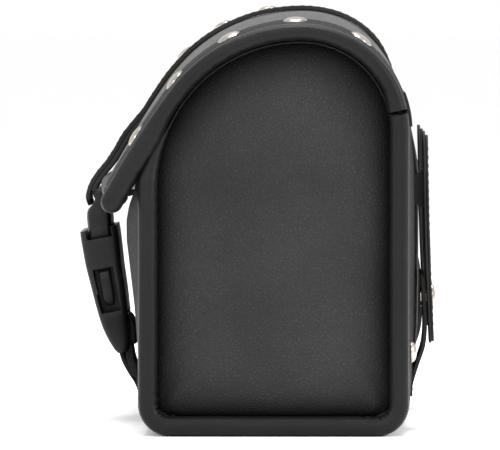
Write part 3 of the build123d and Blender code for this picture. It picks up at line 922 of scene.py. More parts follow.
@dataclass
class CaseBody:
    """Pieces that stay still: panels, rims, skins, bindings, lining and studs."""

    recess: float = 8.6 * MM
    panel_puff: float = 2.6 * MM
    # Reach of the end panels' painted shade from the rim, and how much further it reaches under the arch.
    shade_reach: float = 7.5 * MM
    shade_more: float = 5.0 * MM
    skin: float = 1.8 * MM
    arch_edge: float = 1.1 * MM
    chin_drop: float = 2.9 * MM
    chin_bend: float = 25.0 * MM
    front_top: float = 18.5 * MM
    front_bulge: tuple[tuple[float, float], ...] = (
        (120 * MM, 0.0), (104 * MM, 2.2 * MM), (97 * MM, 3.6 * MM), (90 * MM, 6.2 * MM),
        (84 * MM, 7.3 * MM), (76 * MM, 7.2 * MM), (63 * MM, 5.5 * MM), (50 * MM, 3.6 * MM),
        (35 * MM, 1.8 * MM), (18 * MM, 0.0), (-20 * MM, 0.0))
    back_bulge: float = 5.0 * MM

    def build(self) -> None:
        """Make every piece of the case body."""
        for end in End:
            self.end_panel(end)
            self.end_rim(end)
        self.front()
        self.back()
        self.base()
        self.bindings()
        self.dress_inside()
        self.back_studs()

    def rim_start(self, along: float) -> float:
        """Inset at which the rim starts: 0 where it is bare, and more under the lid."""
        full = LINES.rim - self.arch_edge
        chin = MARKS["arch_front"] - self.chin_drop
        up = smooth(MARKS["hinge"] - 0.1 * MM, MARKS["hinge"] + 0.3 * MM, along)
        down = 1 - min(max((along - (chin - self.chin_bend)) / self.chin_bend, 0.0), 1.0)
        return full * min(up, down)

    def end_rim(self, end: End) -> None:
        """Padded roll round an end: fat where it is bare, thin where the lid covers it.

        Args:
            end: which end of the case.
        """
        half = [(-0.93, 0.99), (-1.0, 0.84), (-1.0, 0.62), (-0.985, 0.42), (-0.93, 0.26), (-0.82, 0.13),
                (-0.65, 0.05), (-0.42, 0.01), (-0.15, -0.01), (0.15, 0.0), (0.42, 0.03), (0.66, 0.09),
                (0.84, 0.19), (0.95, 0.32), (1.0, 0.47), (0.98, 0.62), (0.9, 0.78), (0.84, 0.99)]
        depth = LINES.half_length - LINES.panel_half
        count = 300

        def place(along: float, u: float, v: float) -> Vector:
            start = self.rim_start(along)
            wide = LINES.rim - start
            thin = start / (LINES.rim - self.arch_edge)
            pucker = self.pucker(along) * max(u, 0.0) * (1 - v)
            inset = start + wide * (1 + u) / 2 + pucker
            sunk = 0.6 * thin
            drop = depth * (v * (1 - sunk) + sunk)
            wave = 0.22 * MM * ripple(along, u * 0.004, end.value, 55) * (1 - v)
            point, _ = BODY_LINE.at(along % BODY_LINE.length, inset - (wave if u > -0.9 else 0))
            return at_xz(point, end.value * (LINES.half_length - max(drop + wave, 0)))

        stations = [BODY_LINE.length * n / count for n in range(count)]
        bm = loft(half, stations, place, loop=True)
        rim = Piece(f"end_rim_roll_{end.tag}", "case", "case_leather", [ROLL_LEATHER],
                    [f"end_rim_{end.tag}"], crease=70).make(bm)

    def pucker(self, along: float) -> float:
        """Gathers on the rim's inner edge: round the arch and in the bottom corners.

        Args:
            along: arc length along the body's outline.

        Returns:
            Depth of the gathers there.
        """
        arch = smooth(MARKS["arch_back"], MARKS["arch_back"] + 18 * MM, along) * (
            1 - smooth(MARKS["arch_front"] + 6 * MM, MARKS["arch_front"] + 26 * MM, along))
        beat = math.sin(along / (5.2 * MM) * math.tau + 2.5 * ripple(along, 0, 3, 40))
        value = 0.2 * MM * beat * arch
        for corner in (MARKS["back_corner"], MARKS["front"]):
            near = math.exp(-((along - corner) / (9 * MM)) ** 2)
            near = max(near, math.exp(-((along - corner - 8 * MM) / (9 * MM)) ** 2))
            value += 0.85 * MM * near * math.sin(along / (4.1 * MM) * math.tau)
        return value

    def end_panel(self, end: End) -> None:
        """Puffed leather panel at the bottom of the recess, with painted shade next to the rim.

        Args:
            end: which end of the case.
        """
        inset = LINES.rim - 1.4 * MM
        low, top = inset, LINES.height - inset
        rows, columns = 96, 64
        bm = bmesh.new()
        bmesh.ops.create_grid(bm, x_segments=columns, y_segments=rows, size=1.0)
        # Layer that holds the panel's painted shade.
        shade = bm.verts.layers.float.new(PANEL_SHADE)
        for vert in bm.verts:
            u, v = vert.co.x, (vert.co.y + 1) / 2
            share = v + 0.16 * math.sin(math.pi * v) ** 2 * (1 - v) if v > 0.5 else v
            z = low + (top - low) * min(math.sin(share * math.pi / 2) ** 0.93 if v > 0 else 0, 1)
            left, right = self.sides_at(z, inset)
            x = (left + right) / 2 + u * (right - left) / 2
            gap = min(x - left, right - x, z - low, top - z)
            radial = min(LINES.left_radius - inset - (Vector((x, z)) - LINES.left_centre).length
                         if x < LINES.apex_x and z > LINES.left_centre.y else 1,
                         LINES.right_radius - inset - (Vector((x, z)) - LINES.right_centre).length
                         if x > LINES.apex_x and z > LINES.right_centre.y else 1, gap)
            # Painted shade: 1 at the rim, fading inwards, reaching further near the top where the arch shades
            # the recess.
            reach = self.shade_reach + self.shade_more * smooth(90 * MM, 160 * MM, z)
            vert[shade] = math.exp(-(max(radial, 0) / reach) ** 1.8)
            puff = self.panel_puff * (1 - math.exp(-max(radial, 0) / (13 * MM)))
            puff += 0.25 * MM * ripple(x, 0, z, 24) * smooth(0, 12 * MM, radial)
            puff += self.corner_wrinkle(x, z)
            depth = self.recess + 1.0 * MM - puff
            vert.co = Vector((x, end.value * (LINES.half_length - depth), z))
        panel = Piece(f"end_panel_skin_{end.tag}", "case", "case_leather", [PANEL_LEATHER],
                      [f"end_panel_{end.tag}"], crease=70)
        obj = self.outward(panel.make(bm), Vector((0, end.value, 0)))
        thicken(obj, self.skin)

    @staticmethod
    def outward(obj: bpy.types.Object, direction: Vector) -> bpy.types.Object:
        """Turn an open sheet's faces to a direction, judged by all its faces.

        Args:
            obj: the sheet.
            direction: the way that most of its faces should look.

        Returns:
            The same object.
        """
        faces = obj.data.polygons
        if sum(f.normal.dot(direction) for f in faces) < 0:
            obj.data.flip_normals()
        return obj

    @staticmethod
    def corner_wrinkle(x: float, z: float) -> float:
        """Creases that run out of the two bottom corners of an end panel.

        Args:
            x: place from front to back.
            z: height.

        Returns:
            Height of the creases there.
        """
        value = 0.0
        for side in (-1, 1):
            corner = Vector((side * (LINES.half_width - LINES.rim), LINES.rim))
            away = Vector((x, z)) - corner
            turn = math.atan2(away.y, -side * away.x)
            fade = math.exp(-away.length / (9 * MM)) * smooth(0, 3 * MM, away.length)
            value += 1.5 * MM * fade * math.sin(turn * 9)
        return value

    @staticmethod
    def sides_at(z: float, inset: float) -> tuple[float, float]:
        """Left and right edge of the end view at a height.

        Args:
            z: the height.
            inset: distance inwards from the outline.

        Returns:
            Both values of X.
        """
        def edge(radius: float, centre: Vector, side: int) -> float:
            reach = radius - inset
            rise = min(max(z - centre.y, 0.0), reach)
            flat = side * (LINES.half_width - inset)
            round_x = centre.x + side * math.sqrt(max(reach * reach - rise * rise, 0.0))
            x = round_x if z > centre.y else flat
            corner = max(LINES.corner - inset, MM)
            fall = max(inset + corner - z, 0.0)
            return x - side * (corner - math.sqrt(max(corner * corner - fall * fall, 0.0)))
        return (edge(LINES.left_radius, LINES.left_centre, -1),
                edge(LINES.right_radius, LINES.right_centre, 1))

    def wall(self, name: str, start: float, finish: float, rows: int,
             bulge: Callable[[float, float], float], replaced: str) -> bpy.types.Object:
        """Leather skin between two arc lengths of the body's outline, along the whole case.

        Args:
            name: the piece's name.
            start: arc length of its first edge.
            finish: arc length of its last edge.
            rows: rows of points between them.
            bulge: how far it swells at a share of the way and of half the case's length.
            replaced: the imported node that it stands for.

        Returns:
            The object.
        """
        half = LINES.panel_half + 0.4 * MM

        def place(y: float, along: float, _: float) -> Vector:
            share = (along - start) / (finish - start)
            out = bulge(share, y / half) + 0.25 * MM * ripple(along, y, 5, 20) * (1 - (y / half) ** 6)
            point, _ = BODY_LINE.at(along % BODY_LINE.length, -max(out, 0.0))
            return at_xz(point, y)

        section = [(value, 0.0) for value in spread(start, finish, rows)]
        bm = loft(section, spread(-half, half, 72), place, ring=False)
        middle = BODY_LINE.at((start + finish) / 2)[1]
        obj = Piece(name, "case", "case_leather", [CASE_LEATHER], [replaced], crease=70).make(bm)
        self.outward(obj, at_xz(middle, 0))
        thicken(obj, self.skin)
        return obj

    def front(self) -> None:
        """Front skin, which swells in its upper half."""
        start = MARKS["arch_front"] - self.front_top
        length = MARKS["base"] - start

        def bulge(share: float, y: float) -> float:
            z = LINES.left_centre.y + self.front_top - share * length
            return stepped(self.front_bulge, z) * (1 - abs(y) ** 2.6)

        self.wall("front_skin", start, MARKS["base"], 60, bulge, "front_panel")

    def back(self) -> None:
        """Back skin, which swells over most of its height."""
        start = MARKS["back_corner"]

        def bulge(share: float, y: float) -> float:
            tall = min(smooth(-0.02, 0.4, share), smooth(1.04, 0.8, share))
            return self.back_bulge * tall * (1 - abs(y) ** 2.2)

        self.wall("back_skin", start, MARKS["hinge"] - 0.5 * MM, 60, bulge, "back_panel")

    def base(self) -> None:
        """Base skin between the corners, flat on whatever the case stands on."""
        width = LINES.half_width - LINES.corner
        start = MARKS["base"]
        self.wall("base_skin", start, start + 2 * width, 24, lambda share, y: 0.0, "base_panel")

    def bindings(self) -> None:
        """Bound top edge of the front panel and the seam cords along the base corners."""
        half = LINES.panel_half - 0.5 * MM
        top = MARKS["arch_front"] - self.front_top + 0.5 * MM
        centre, _ = BODY_LINE.at(top, 2.0 * MM)
        ring = [(math.cos(a), math.sin(a)) for a in spread(0, math.tau * 15 / 16, 16)]

        def place(y: float, u: float, v: float) -> Vector:
            swell = 0.8 * MM * (1 - abs(y / half) ** 2.6)
            wave = 0.15 * MM * ripple(y, 0, 9, 60)
            return Vector((centre.x + (2.7 * MM + wave) * u - swell, y, centre.y + 2.4 * MM * v))

        obj = Piece("front_binding", "case", "case_leather", [ROLL_LEATHER], crease=70).make(
            loft(ring, spread(-half, half, 80), place))
        for name, along in (("back", MARKS["back_corner"]), ("front", MARKS["base"])):
            spot, normal = BODY_LINE.at(along, 0.35 * MM)

            def cord(y: float, u: float, v: float, spot: Vector = spot) -> Vector:
                return Vector((spot.x + 0.75 * MM * u, y, spot.y + 0.32 * MM * v + 0.03 * MM))

            Piece(f"base_seam_{name}", "case", "case_leather", [ROLL_LEATHER], crease=70).make(
                loft(ring, spread(-half, half, 40), cord))

    def dress_inside(self) -> None:
        """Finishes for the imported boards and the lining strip."""
        for place in ("front", "back", "base"):
            dress(f"{place}_board", BOARD)
        for end in End:
            dress(f"end_board_{end.tag}", BOARD)
        dress("lid_board", BOARD)
        dress("hinge_lining", LINING)

    def back_studs(self) -> None:
        """Dome studs low on the back, one near each end."""
        bm = bmesh.new()
        for end in End:
            low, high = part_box("back_studs")
            y = end.value * (high[1] - 4.9 * MM)
            z = (low[2] + high[2]) / 2
            spot = frame_on(Vector((low[0] + 0.9 * MM, y, z)), BACKWARD, UP)
            add_turned(bm, dome_profile(4.4 * MM, 2.3 * MM), spot, 24)
        Piece("back_dome_studs", "case", "nickel", [NICKEL], ["back_studs"]).make(bm)


def dress(node: str, material: bpy.types.Material) -> None:
    """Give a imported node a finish.

    Args:
        node: its name.
        material: its finish.
    """
    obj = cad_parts[node]
    obj.data.materials.clear()
    obj.data.materials.append(material)


# ---- Lid --------------------------------------------------------------------------------------

@dataclass
class Lid:
    """The lid: skin, rolls, hem, trims and studs."""

    roll_arch: float = 6.8 * MM
    roll_flare: float = 9.0 * MM
    roll_extra: float = 3.2 * MM
    hem_radius: float = 4.2 * MM
    trim_width: float = 12.0 * MM
    trim_thickness: float = 1.5 * MM
    skin: float = 1.9 * MM
    stud_first: float = 34.3 * MM
    stud_pitch: float = 27.4 * MM
    stud_count: int = 5

    def build(self) -> None:
        """Make every piece of the lid."""
        self.panel()
        self.hem()
        self.hinge_fold()
        for end in End:
            self.roll(end)
            self.welt(end)
            self.trim(end)
        self.studs()

    def panel(self) -> None:
        """Lid skin, swollen by its padding."""
        half = LINES.panel_half + 0.3 * MM
        line = spread(1.2 * MM, LID_LINE.length - 0.5 * MM, 96)
        bm = loft([(value, 0.0) for value in line], spread(-half, half, 90),
                  lambda y, along, _: on_lid(along, y, 0.0), ring=False)
        obj = Piece("lid_skin", "lid", "lid_leather", [LID_LEATHER], ["lid_panel"], crease=70).make(bm)
        CaseBody.outward(obj, UP)
        thicken(obj, self.skin)
        bm = loft([(value, 0.0) for value in line], spread(-half, half, 60),
                  lambda y, along, _: on_lid(along, y, -self.skin - 0.1 * MM), ring=False)
        board = Piece("lid_inner_board", "lid", "stiffener_board", [BOARD], ["lid_board"],
                      crease=70).make(bm)
        CaseBody.outward(board, UP)
        thicken(board, 1.4 * MM)

    def hem(self) -> None:
        """Rolled front edge that the skin turns round."""
        half = LINES.panel_half + 0.3 * MM
        centre, normal = LID_LINE.at(LID_LINE.length, self.hem_radius - 1.0 * MM)
        tangent = Vector((-normal.y, normal.x))
        ring = [(math.cos(a), math.sin(a)) for a in spread(0, math.tau * 23 / 24, 24)]

        def place(y: float, u: float, v: float) -> Vector:
            reach = self.hem_radius + 0.8 * MM + 0.25 * MM * ripple(y, u, v, 40)
            swell = lid_height(LID_LINE.length, y)
            point = centre + normal * (reach * u + swell) + tangent * reach * 0.82 * v
            return at_xz(point, y)

        obj = Piece("lid_hem_roll", "lid", "lid_leather", [ROLL_LEATHER], ["lid_front_hem"],
                    crease=70).make(loft(ring, spread(-half, half, 110), place))

    def hinge_fold(self) -> None:
        """Leather strip across the hinge, from the body's back onto the lid's line."""
        half = LINES.panel_half - 0.5 * MM
        section = slab_section(7.0 * MM, 1.3 * MM, 0.45 * MM, 14)

        def place(y: float, u: float, v: float) -> Vector:
            if u >= 0:
                point, _ = LID_LINE.at(u, -v)
            else:
                point, _ = BODY_LINE.at(MARKS["hinge"] + u, -v)
            return at_xz(point, y)

        obj = Piece("hinge_fold", "", "lid_leather", [LID_LEATHER], crease=50).make(
            loft(section, spread(-half, half, 60), place))
        low, normal = BODY_LINE.at(MARKS["hinge"] - 3.5 * MM)
        high, _ = LID_LINE.at(3.5 * MM)
        at_xz(low, 0)
        at_xz(high, 0)
        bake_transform(obj)

    def width_at(self, along: float) -> float:
        """Width of the side roll: narrow over the arch, wide where the lid flares."""
        bend = LID_LINE.length - self.roll_flare * 4.6
        root = (LINES.rim - self.roll_arch) * (1 - smooth(2 * MM, 12 * MM, along))
        flare = (self.roll_flare - self.roll_arch) * smooth(bend, bend + 17 * MM, along)
        return self.roll_arch + root + flare

    def roll(self, end: End) -> None:
        """Padded side roll, round at its front tip.

        Args:
            end: which end of the case.
        """
        section = [(-0.96, 0.99), (-1.0, 0.8), (-1.0, 0.58), (-0.97, 0.4), (-0.9, 0.25), (-0.78, 0.13),
                   (-0.6, 0.05), (-0.35, 0.01), (-0.05, -0.01), (0.25, 0.0), (0.52, 0.04), (0.74, 0.12),
                   (0.89, 0.25), (0.97, 0.42), (1.0, 0.6), (0.98, 0.8), (0.94, 0.99)]
        depth = LINES.half_length - LINES.panel_half - 0.3 * MM
        body = spread(0.4 * MM, LID_LINE.length, 170)
        bend = LID_LINE.length + self.roll_extra
        tip = [bend] + [bend + self.roll_flare / 2 * math.sin(a) for a in spread(0.2, math.pi / 2, 8)]

        def place(along: float, u: float, v: float) -> Vector:
            over = max(along - LID_LINE.length, 0.0)
            wide = self.width_at(along)
            curl = max(over - self.roll_extra, 0.0)
            shrink = math.sqrt(max(1 - (curl / (wide / 2)) ** 2, 0.0)) if curl else 1.0
            shrink = max(shrink, 0.12)
            gather = 0.26 * MM * math.sin(along / (6.3 * MM) * math.tau) * max(u, 0) * (1 - v) ** 3
            wave = 0.2 * MM * ripple(along, u * 0.003, 4 + end.value, 48) * (1 - v)
            inset = wide / 2 + u * wide / 2 * shrink + gather
            point, normal = LID_LINE.at(min(along, LID_LINE.length), inset)
            point = point + Vector((-normal.y, normal.x)) * over
            round_off = depth * 0.25 * (1 - shrink)
            return at_xz(point, end.value * (LINES.half_length - v * depth * (0.75 + 0.25 * shrink)
                                             - round_off + wave * (0.4 if v > 0.01 else 0)))

        obj = Piece(f"lid_side_roll_{end.tag}", "lid", "lid_leather", [ROLL_LEATHER],
                    [f"lid_roll_{end.tag}"], crease=70).make(loft(section, body + tip, place))

    def welt(self, end: End) -> None:
        """Thin cord sewn between the side roll and the skin.

        Args:
            end: which end of the case.
        """
        ring = [(math.cos(a), math.sin(a)) for a in spread(0, math.tau * 11 / 12, 12)]
        y_seam = end.value * (LINES.panel_half + 0.7 * MM)

        def place(along: float, u: float, v: float) -> Vector:
            point, _ = LID_LINE.at(along, 0.75 * MM - 1.1 * MM * v)
            return at_xz(point, y_seam + 1.1 * MM * u)

        Piece(f"lid_welt_{end.tag}", "lid", "lid_leather", [ROLL_LEATHER], crease=70).make(
            loft(ring, spread(1.0 * MM, LID_LINE.length + 0.8 * MM, 150), place))

    def trim(self, end: End) -> None:
        """Stud strip with cut edges and a row of stitches along each side.

        Args:
            end: which end of the case.
        """
        middle = end.value * (LINES.panel_half + 0.1 * MM - self.trim_width / 2)
        section = slab_section(self.trim_width / 2, self.trim_thickness, 0.3 * MM, 6)
        line = spread(2.0 * MM, LID_LINE.length - 0.2 * MM, 180)

        def place(along: float, u: float, v: float) -> Vector:
            edge = abs(u) / (self.trim_width / 2)
            rough = 0.28 * MM * ripple(along, 0, math.copysign(8, u), 330) * edge ** 4
            y = middle + u + rough
            return on_lid(along, y, 0.05 * MM + v)

        bm = loft(section, line, place)
        edge_faces(bm, lambda c, n: abs(n.y) > 0.75)
        Piece(f"stud_strip_{end.tag}", "lid", "strap_leather", [STRAP_LEATHER, CUT_EDGE],
              [f"lid_trim_{end.tag}"], crease=35).make(bm)
        threads = bmesh.new()
        for side in (-1, 1):
            y = middle + side * (self.trim_width / 2 - 1.7 * MM)
            add_stitches(threads, lid_stitches(y, 5 * MM, LID_LINE.length - 3 * MM,
                                               self.trim_thickness + 0.02 * MM))
        Piece(f"stud_strip_stitches_{end.tag}", "lid", "strap_leather", [THREAD]).make(threads)

    def studs(self) -> None:
        """Dome studs along both trims."""
        bm = bmesh.new()
        profile = dome_profile(4.6 * MM, 1.65 * MM, 0.25 * MM)
        for end in End:
            y = end.value * (LINES.panel_half - self.trim_width / 2)
            for n in range(self.stud_count):
                along = self.stud_first + n * self.stud_pitch
                above = self.trim_thickness - 0.15 * MM
                add_turned(bm, profile, lid_frame(along, y, above), 24)
        Piece("lid_dome_studs", "lid", "nickel", [NICKEL], ["lid_studs"]).make(bm)


def lid_frame(along: float, y: float, above: float) -> Matrix:
    """Place on the lid with Z outwards and X along the lid's line.

    Args:
        along: arc length from the hinge.
        y: place along the case.
        above: height over the skin.

    Returns:
        The matrix.
    """
    point = on_lid(along, y, above)
    ahead = on_lid(along + MM, y, above) - on_lid(along - MM, y, above)
    side = on_lid(along, y + MM, above) - on_lid(along, y - MM, above)
    normal = side.cross(ahead)
    if normal.dot(at_xz(LID_LINE.at(along)[1], 0)) < 0:
        normal = -normal
    return frame_on(point, normal, ahead)


def lid_stitches(y: float, start: float, finish: float, above: float,
                 pitch: float = 3.4 * MM) -> list[Matrix]:
    """Places for a row of stitches along the lid."""
    count = int((finish - start) / pitch)
    return [lid_frame(start + n * pitch, y, above) for n in range(count + 1)]


def edge_faces(bm: bmesh.types.BMesh, test: Callable[[Vector, Vector], bool]) -> None:
    """Give the second finish to the faces that pass a test on their middle and normal.

    Args:
        bm: the mesh.
        test: says whether a face is a cut edge.
    """
    bm.normal_update()
    for face in bm.faces:
        if test(face.calc_center_median(), face.normal):
            face.material_index = 1


# ---- Strap and buckle -------------------------------------------------------------------------

@dataclass(frozen=True)
class Buckle:
    """The buckle's own frame, in the XZ plane: X through its thickness and Z up along it."""

    mouth: tuple[float, float] = (-73.3 * MM, 79.3 * MM)
    tilt: float = math.radians(11)

    def world(self, x: float, y: float, z: float) -> Vector:
        """Point in space."""
        turn_c, turn_s = math.cos(self.tilt), math.sin(self.tilt)
        return Vector((self.mouth[0] + x * turn_c - z * turn_s, y,
                       self.mouth[1] + x * turn_s + z * turn_c))

    @property
    def bar(self) -> Vector:
        """Middle of the bar that the strap's loop goes round."""
        return self.world(4.0 * MM, 0, 15.0 * MM)

    @property
    def matrix(self) -> Matrix:
        """Matrix from the buckle's frame to the world."""
        return Matrix.Translation(self.world(0, 0, 0)) @ Matrix.Rotation(-self.tilt, 4, "Y")


def follow(points: Sequence[tuple[float, float]], steps: int = 8) -> list[tuple[Vector, Vector]]:
    """Smooth path through points in X and Z, with the normal on its left at each.

    Args:
        points: the points, in metres.
        steps: path points for each stretch.

    Returns:
        Pairs of point and normal.
    """
    knots = [Vector(p) for p in points]
    knots = [knots[0] * 2 - knots[1]] + knots + [knots[-1] * 2 - knots[-2]]
    path = []
    for n in range(1, len(knots) - 2):
        a, b, c, d = knots[n - 1:n + 3]
        last = n == len(knots) - 3
        for m in range(steps + (1 if last else 0)):
            t = m / steps
            path.append(0.5 * (2 * b + (c - a) * t + (2 * a - 5 * b + 4 * c - d) * t ** 2
                               + (3 * b - a - 3 * c + d) * t ** 3))
    result = []
    for n, point in enumerate(path):
        ahead = (path[min(n + 1, len(path) - 1)] - path[max(n - 1, 0)]).normalized()
        result.append((point, Vector((-ahead.y, ahead.x))))
    return result


def band(path: Sequence[tuple[Vector, Vector]], half: float, thick: float, middle: float = 0.0,
         round_start: float = 0.0, round_end: float = 0.0, edge: float = 0.35 * MM,
         taper: Callable[[float], float] = lambda n: 1.0) -> bmesh.types.BMesh:
    """Strap of one thickness along a path, with rounded ends if asked.

    Args:
        path: points and normals of its underside.
        half: half of its width.
        thick: its thickness, on the side of the normals.
        middle: Y of its middle.
        round_start: length over which the first end is rounded.
        round_end: length over which the last end is rounded.
        edge: radius of its edges.
        taper: share of the thickness at each path point.

    Returns:
        The mesh.
    """
    lengths = [0.0]
    for (a, _), (b, _) in zip(path, path[1:]):
        lengths.append(lengths[-1] + (b - a).length)

    def width(n: float) -> float:
        first, last = lengths[int(n)], lengths[-1] - lengths[int(n)]
        share = 1.0
        for reach, away in ((round_start, first), (round_end, last)):
            if reach and away < reach:
                share = min(share, 0.62 + 0.38 * math.sqrt(1 - (1 - away / reach) ** 2))
        return share

    def place(n: float, u: float, v: float) -> Vector:
        point, normal = path[int(n)]
        return at_xz(point + normal * v * taper(n), middle + u * width(n))

    return loft(slab_section(half, thick, edge, 8), list(range(len(path))), place)


def leather_band(name: str, body: str, bm: bmesh.types.BMesh, replaces: Sequence[str],
                 cut_ends: bool = False) -> bpy.types.Object:
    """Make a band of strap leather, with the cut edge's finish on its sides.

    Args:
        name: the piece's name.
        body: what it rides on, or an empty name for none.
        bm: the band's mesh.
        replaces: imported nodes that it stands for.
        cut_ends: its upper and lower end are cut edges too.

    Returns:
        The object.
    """
    edge_faces(bm, lambda _, n: abs(n.y) > 0.75 or (cut_ends and abs(n.z) > 0.8))
    return Piece(name, body, "strap_leather", [STRAP_LEATHER, CUT_EDGE], replaces, crease=35).make(bm)


@dataclass
class Strap:
    """Centre strap in two stitched layers, its loop round the buckle's bar, and its rivets."""

    buckle: Buckle = Buckle()
    half: float = 19.0 * MM
    layer: float = 1.85 * MM
    start: float = 9.0 * MM
    leave: float = 136.0 * MM
    free: tuple[tuple[float, float], ...] = (
        (-63.0, 120.4), (-67.0, 113.6), (-70.6, 108.2), (-73.9, 104.2), (-76.6, 100.2), (-78.2, 96.4),
        (-78.8, 92.8), (-77.9, 89.3))
    rivet_rows: tuple[float, ...] = (72.5 * MM, 90.5 * MM, 108.5 * MM)

    def build(self) -> None:
        """Make every piece of the strap."""
        self.lower()
        self.upper()
        self.loop()
        self.rivets()

    @staticmethod
    def skived(n: float) -> float:
        """Share of the full thickness at a path point: the sewn end is pared thin."""
        return 0.3 + 0.7 * smooth(0, 24, n)

    def outside(self) -> list[tuple[Vector, Vector]]:
        """Outer surface of the strap from its sewn end to its free tip, with inward normals.

        Returns:
            Pairs of a point and its inward normal.
        """
        lid = []
        for n, value in enumerate(spread(self.start, self.leave, 44)):
            point = on_lid(value, 0.0, 2 * self.layer * self.skived(3 * n) - 0.35 * MM)
            lid.append((point.x, point.z))
        path = follow(lid + [(x * MM, z * MM) for x, z in self.free], 3)
        hub = LINES.left_centre
        return [(p, n if n.dot(hub - p) > 0 else -n) for p, n in path]

    def lower(self) -> None:
        """Lower layer, which ends behind the upper one above the buckle."""
        path = self.outside()[:-6]
        path = [(p + n * (self.layer * self.skived(k) + 0.05 * MM), n) for k, (p, n) in enumerate(path)]
        leather_band("strap_under", "lid", band(path, self.half, self.layer, taper=self.skived),
                     ["strap_lower_layer"])

    def upper(self) -> None:
        """Upper layer with a row of stitches along each side."""
        path = self.outside()
        bm = band(path, self.half - 0.4 * MM, self.layer, round_end=6 * MM, taper=self.skived)
        leather_band("strap_over", "lid", bm, ["strap_upper_layer"])
        bm = bmesh.new()
        gone = 0.0
        for (a, normal), (b, _) in zip(path, path[1:-5]):
            gone += (b - a).length
            while gone > 3.4 * MM:
                gone -= 3.4 * MM
                for side in (-1, 1):
                    spot = at_xz(a - normal * 0.02 * MM, side * (self.half - 3 * MM))
                    add_stitches(bm, [frame_on(spot, at_xz(-normal, 0), at_xz(b - a, 0))])
        point, normal = path[6]
        for n in range(9):
            spot = at_xz(point - normal * 0.02 * MM, (n - 4) * 3.4 * MM)
            add_stitches(bm, [frame_on(spot, at_xz(-normal, 0), ACROSS)])
        Piece("strap_stitches", "lid", "strap_leather", [THREAD]).make(bm)

    def loop(self) -> None:
        """Leather loop from behind the strap round the buckle's bar."""
        centre = self.buckle.bar
        spots = [(-70.6 * MM, 103.0 * MM), (-73.4 * MM, 99.8 * MM)]
        for angle in spread(math.radians(165), math.radians(165 + 262), 12):
            spots.append((centre.x + 2.35 * MM * math.cos(angle), centre.z + 2.35 * MM * math.sin(angle)))
        path = follow(spots + [(-72.6 * MM, 98.9 * MM)], 3)
        hub = Vector((centre.x, centre.z))
        path = [(p, n if n.dot(p - hub) > 0 else -n) for p, n in path]
        bm = band(path, self.half - 0.9 * MM, 1.25 * MM)
        obj = leather_band("strap_end_loop", "", bm, ["strap_loop"])
        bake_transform(obj)
        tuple(centre)

    def rivets(self) -> None:
        """Flat-domed rivets through the strap."""
        bm = bmesh.new()
        for row in self.rivet_rows:
            spot = lid_frame(row, 0.0, 2 * self.layer - 0.4 * MM)
            for side in (-1, 1):
                place = Matrix.Translation(Vector((0, side * (self.half - 6 * MM), 0))) @ spot
                add_turned(bm, dome_profile(3.4 * MM, 1.2 * MM, 0.2 * MM), place, 20)
        Piece("strap_rivet_caps", "lid", "nickel", [NICKEL], ["strap_rivets"]).make(bm)


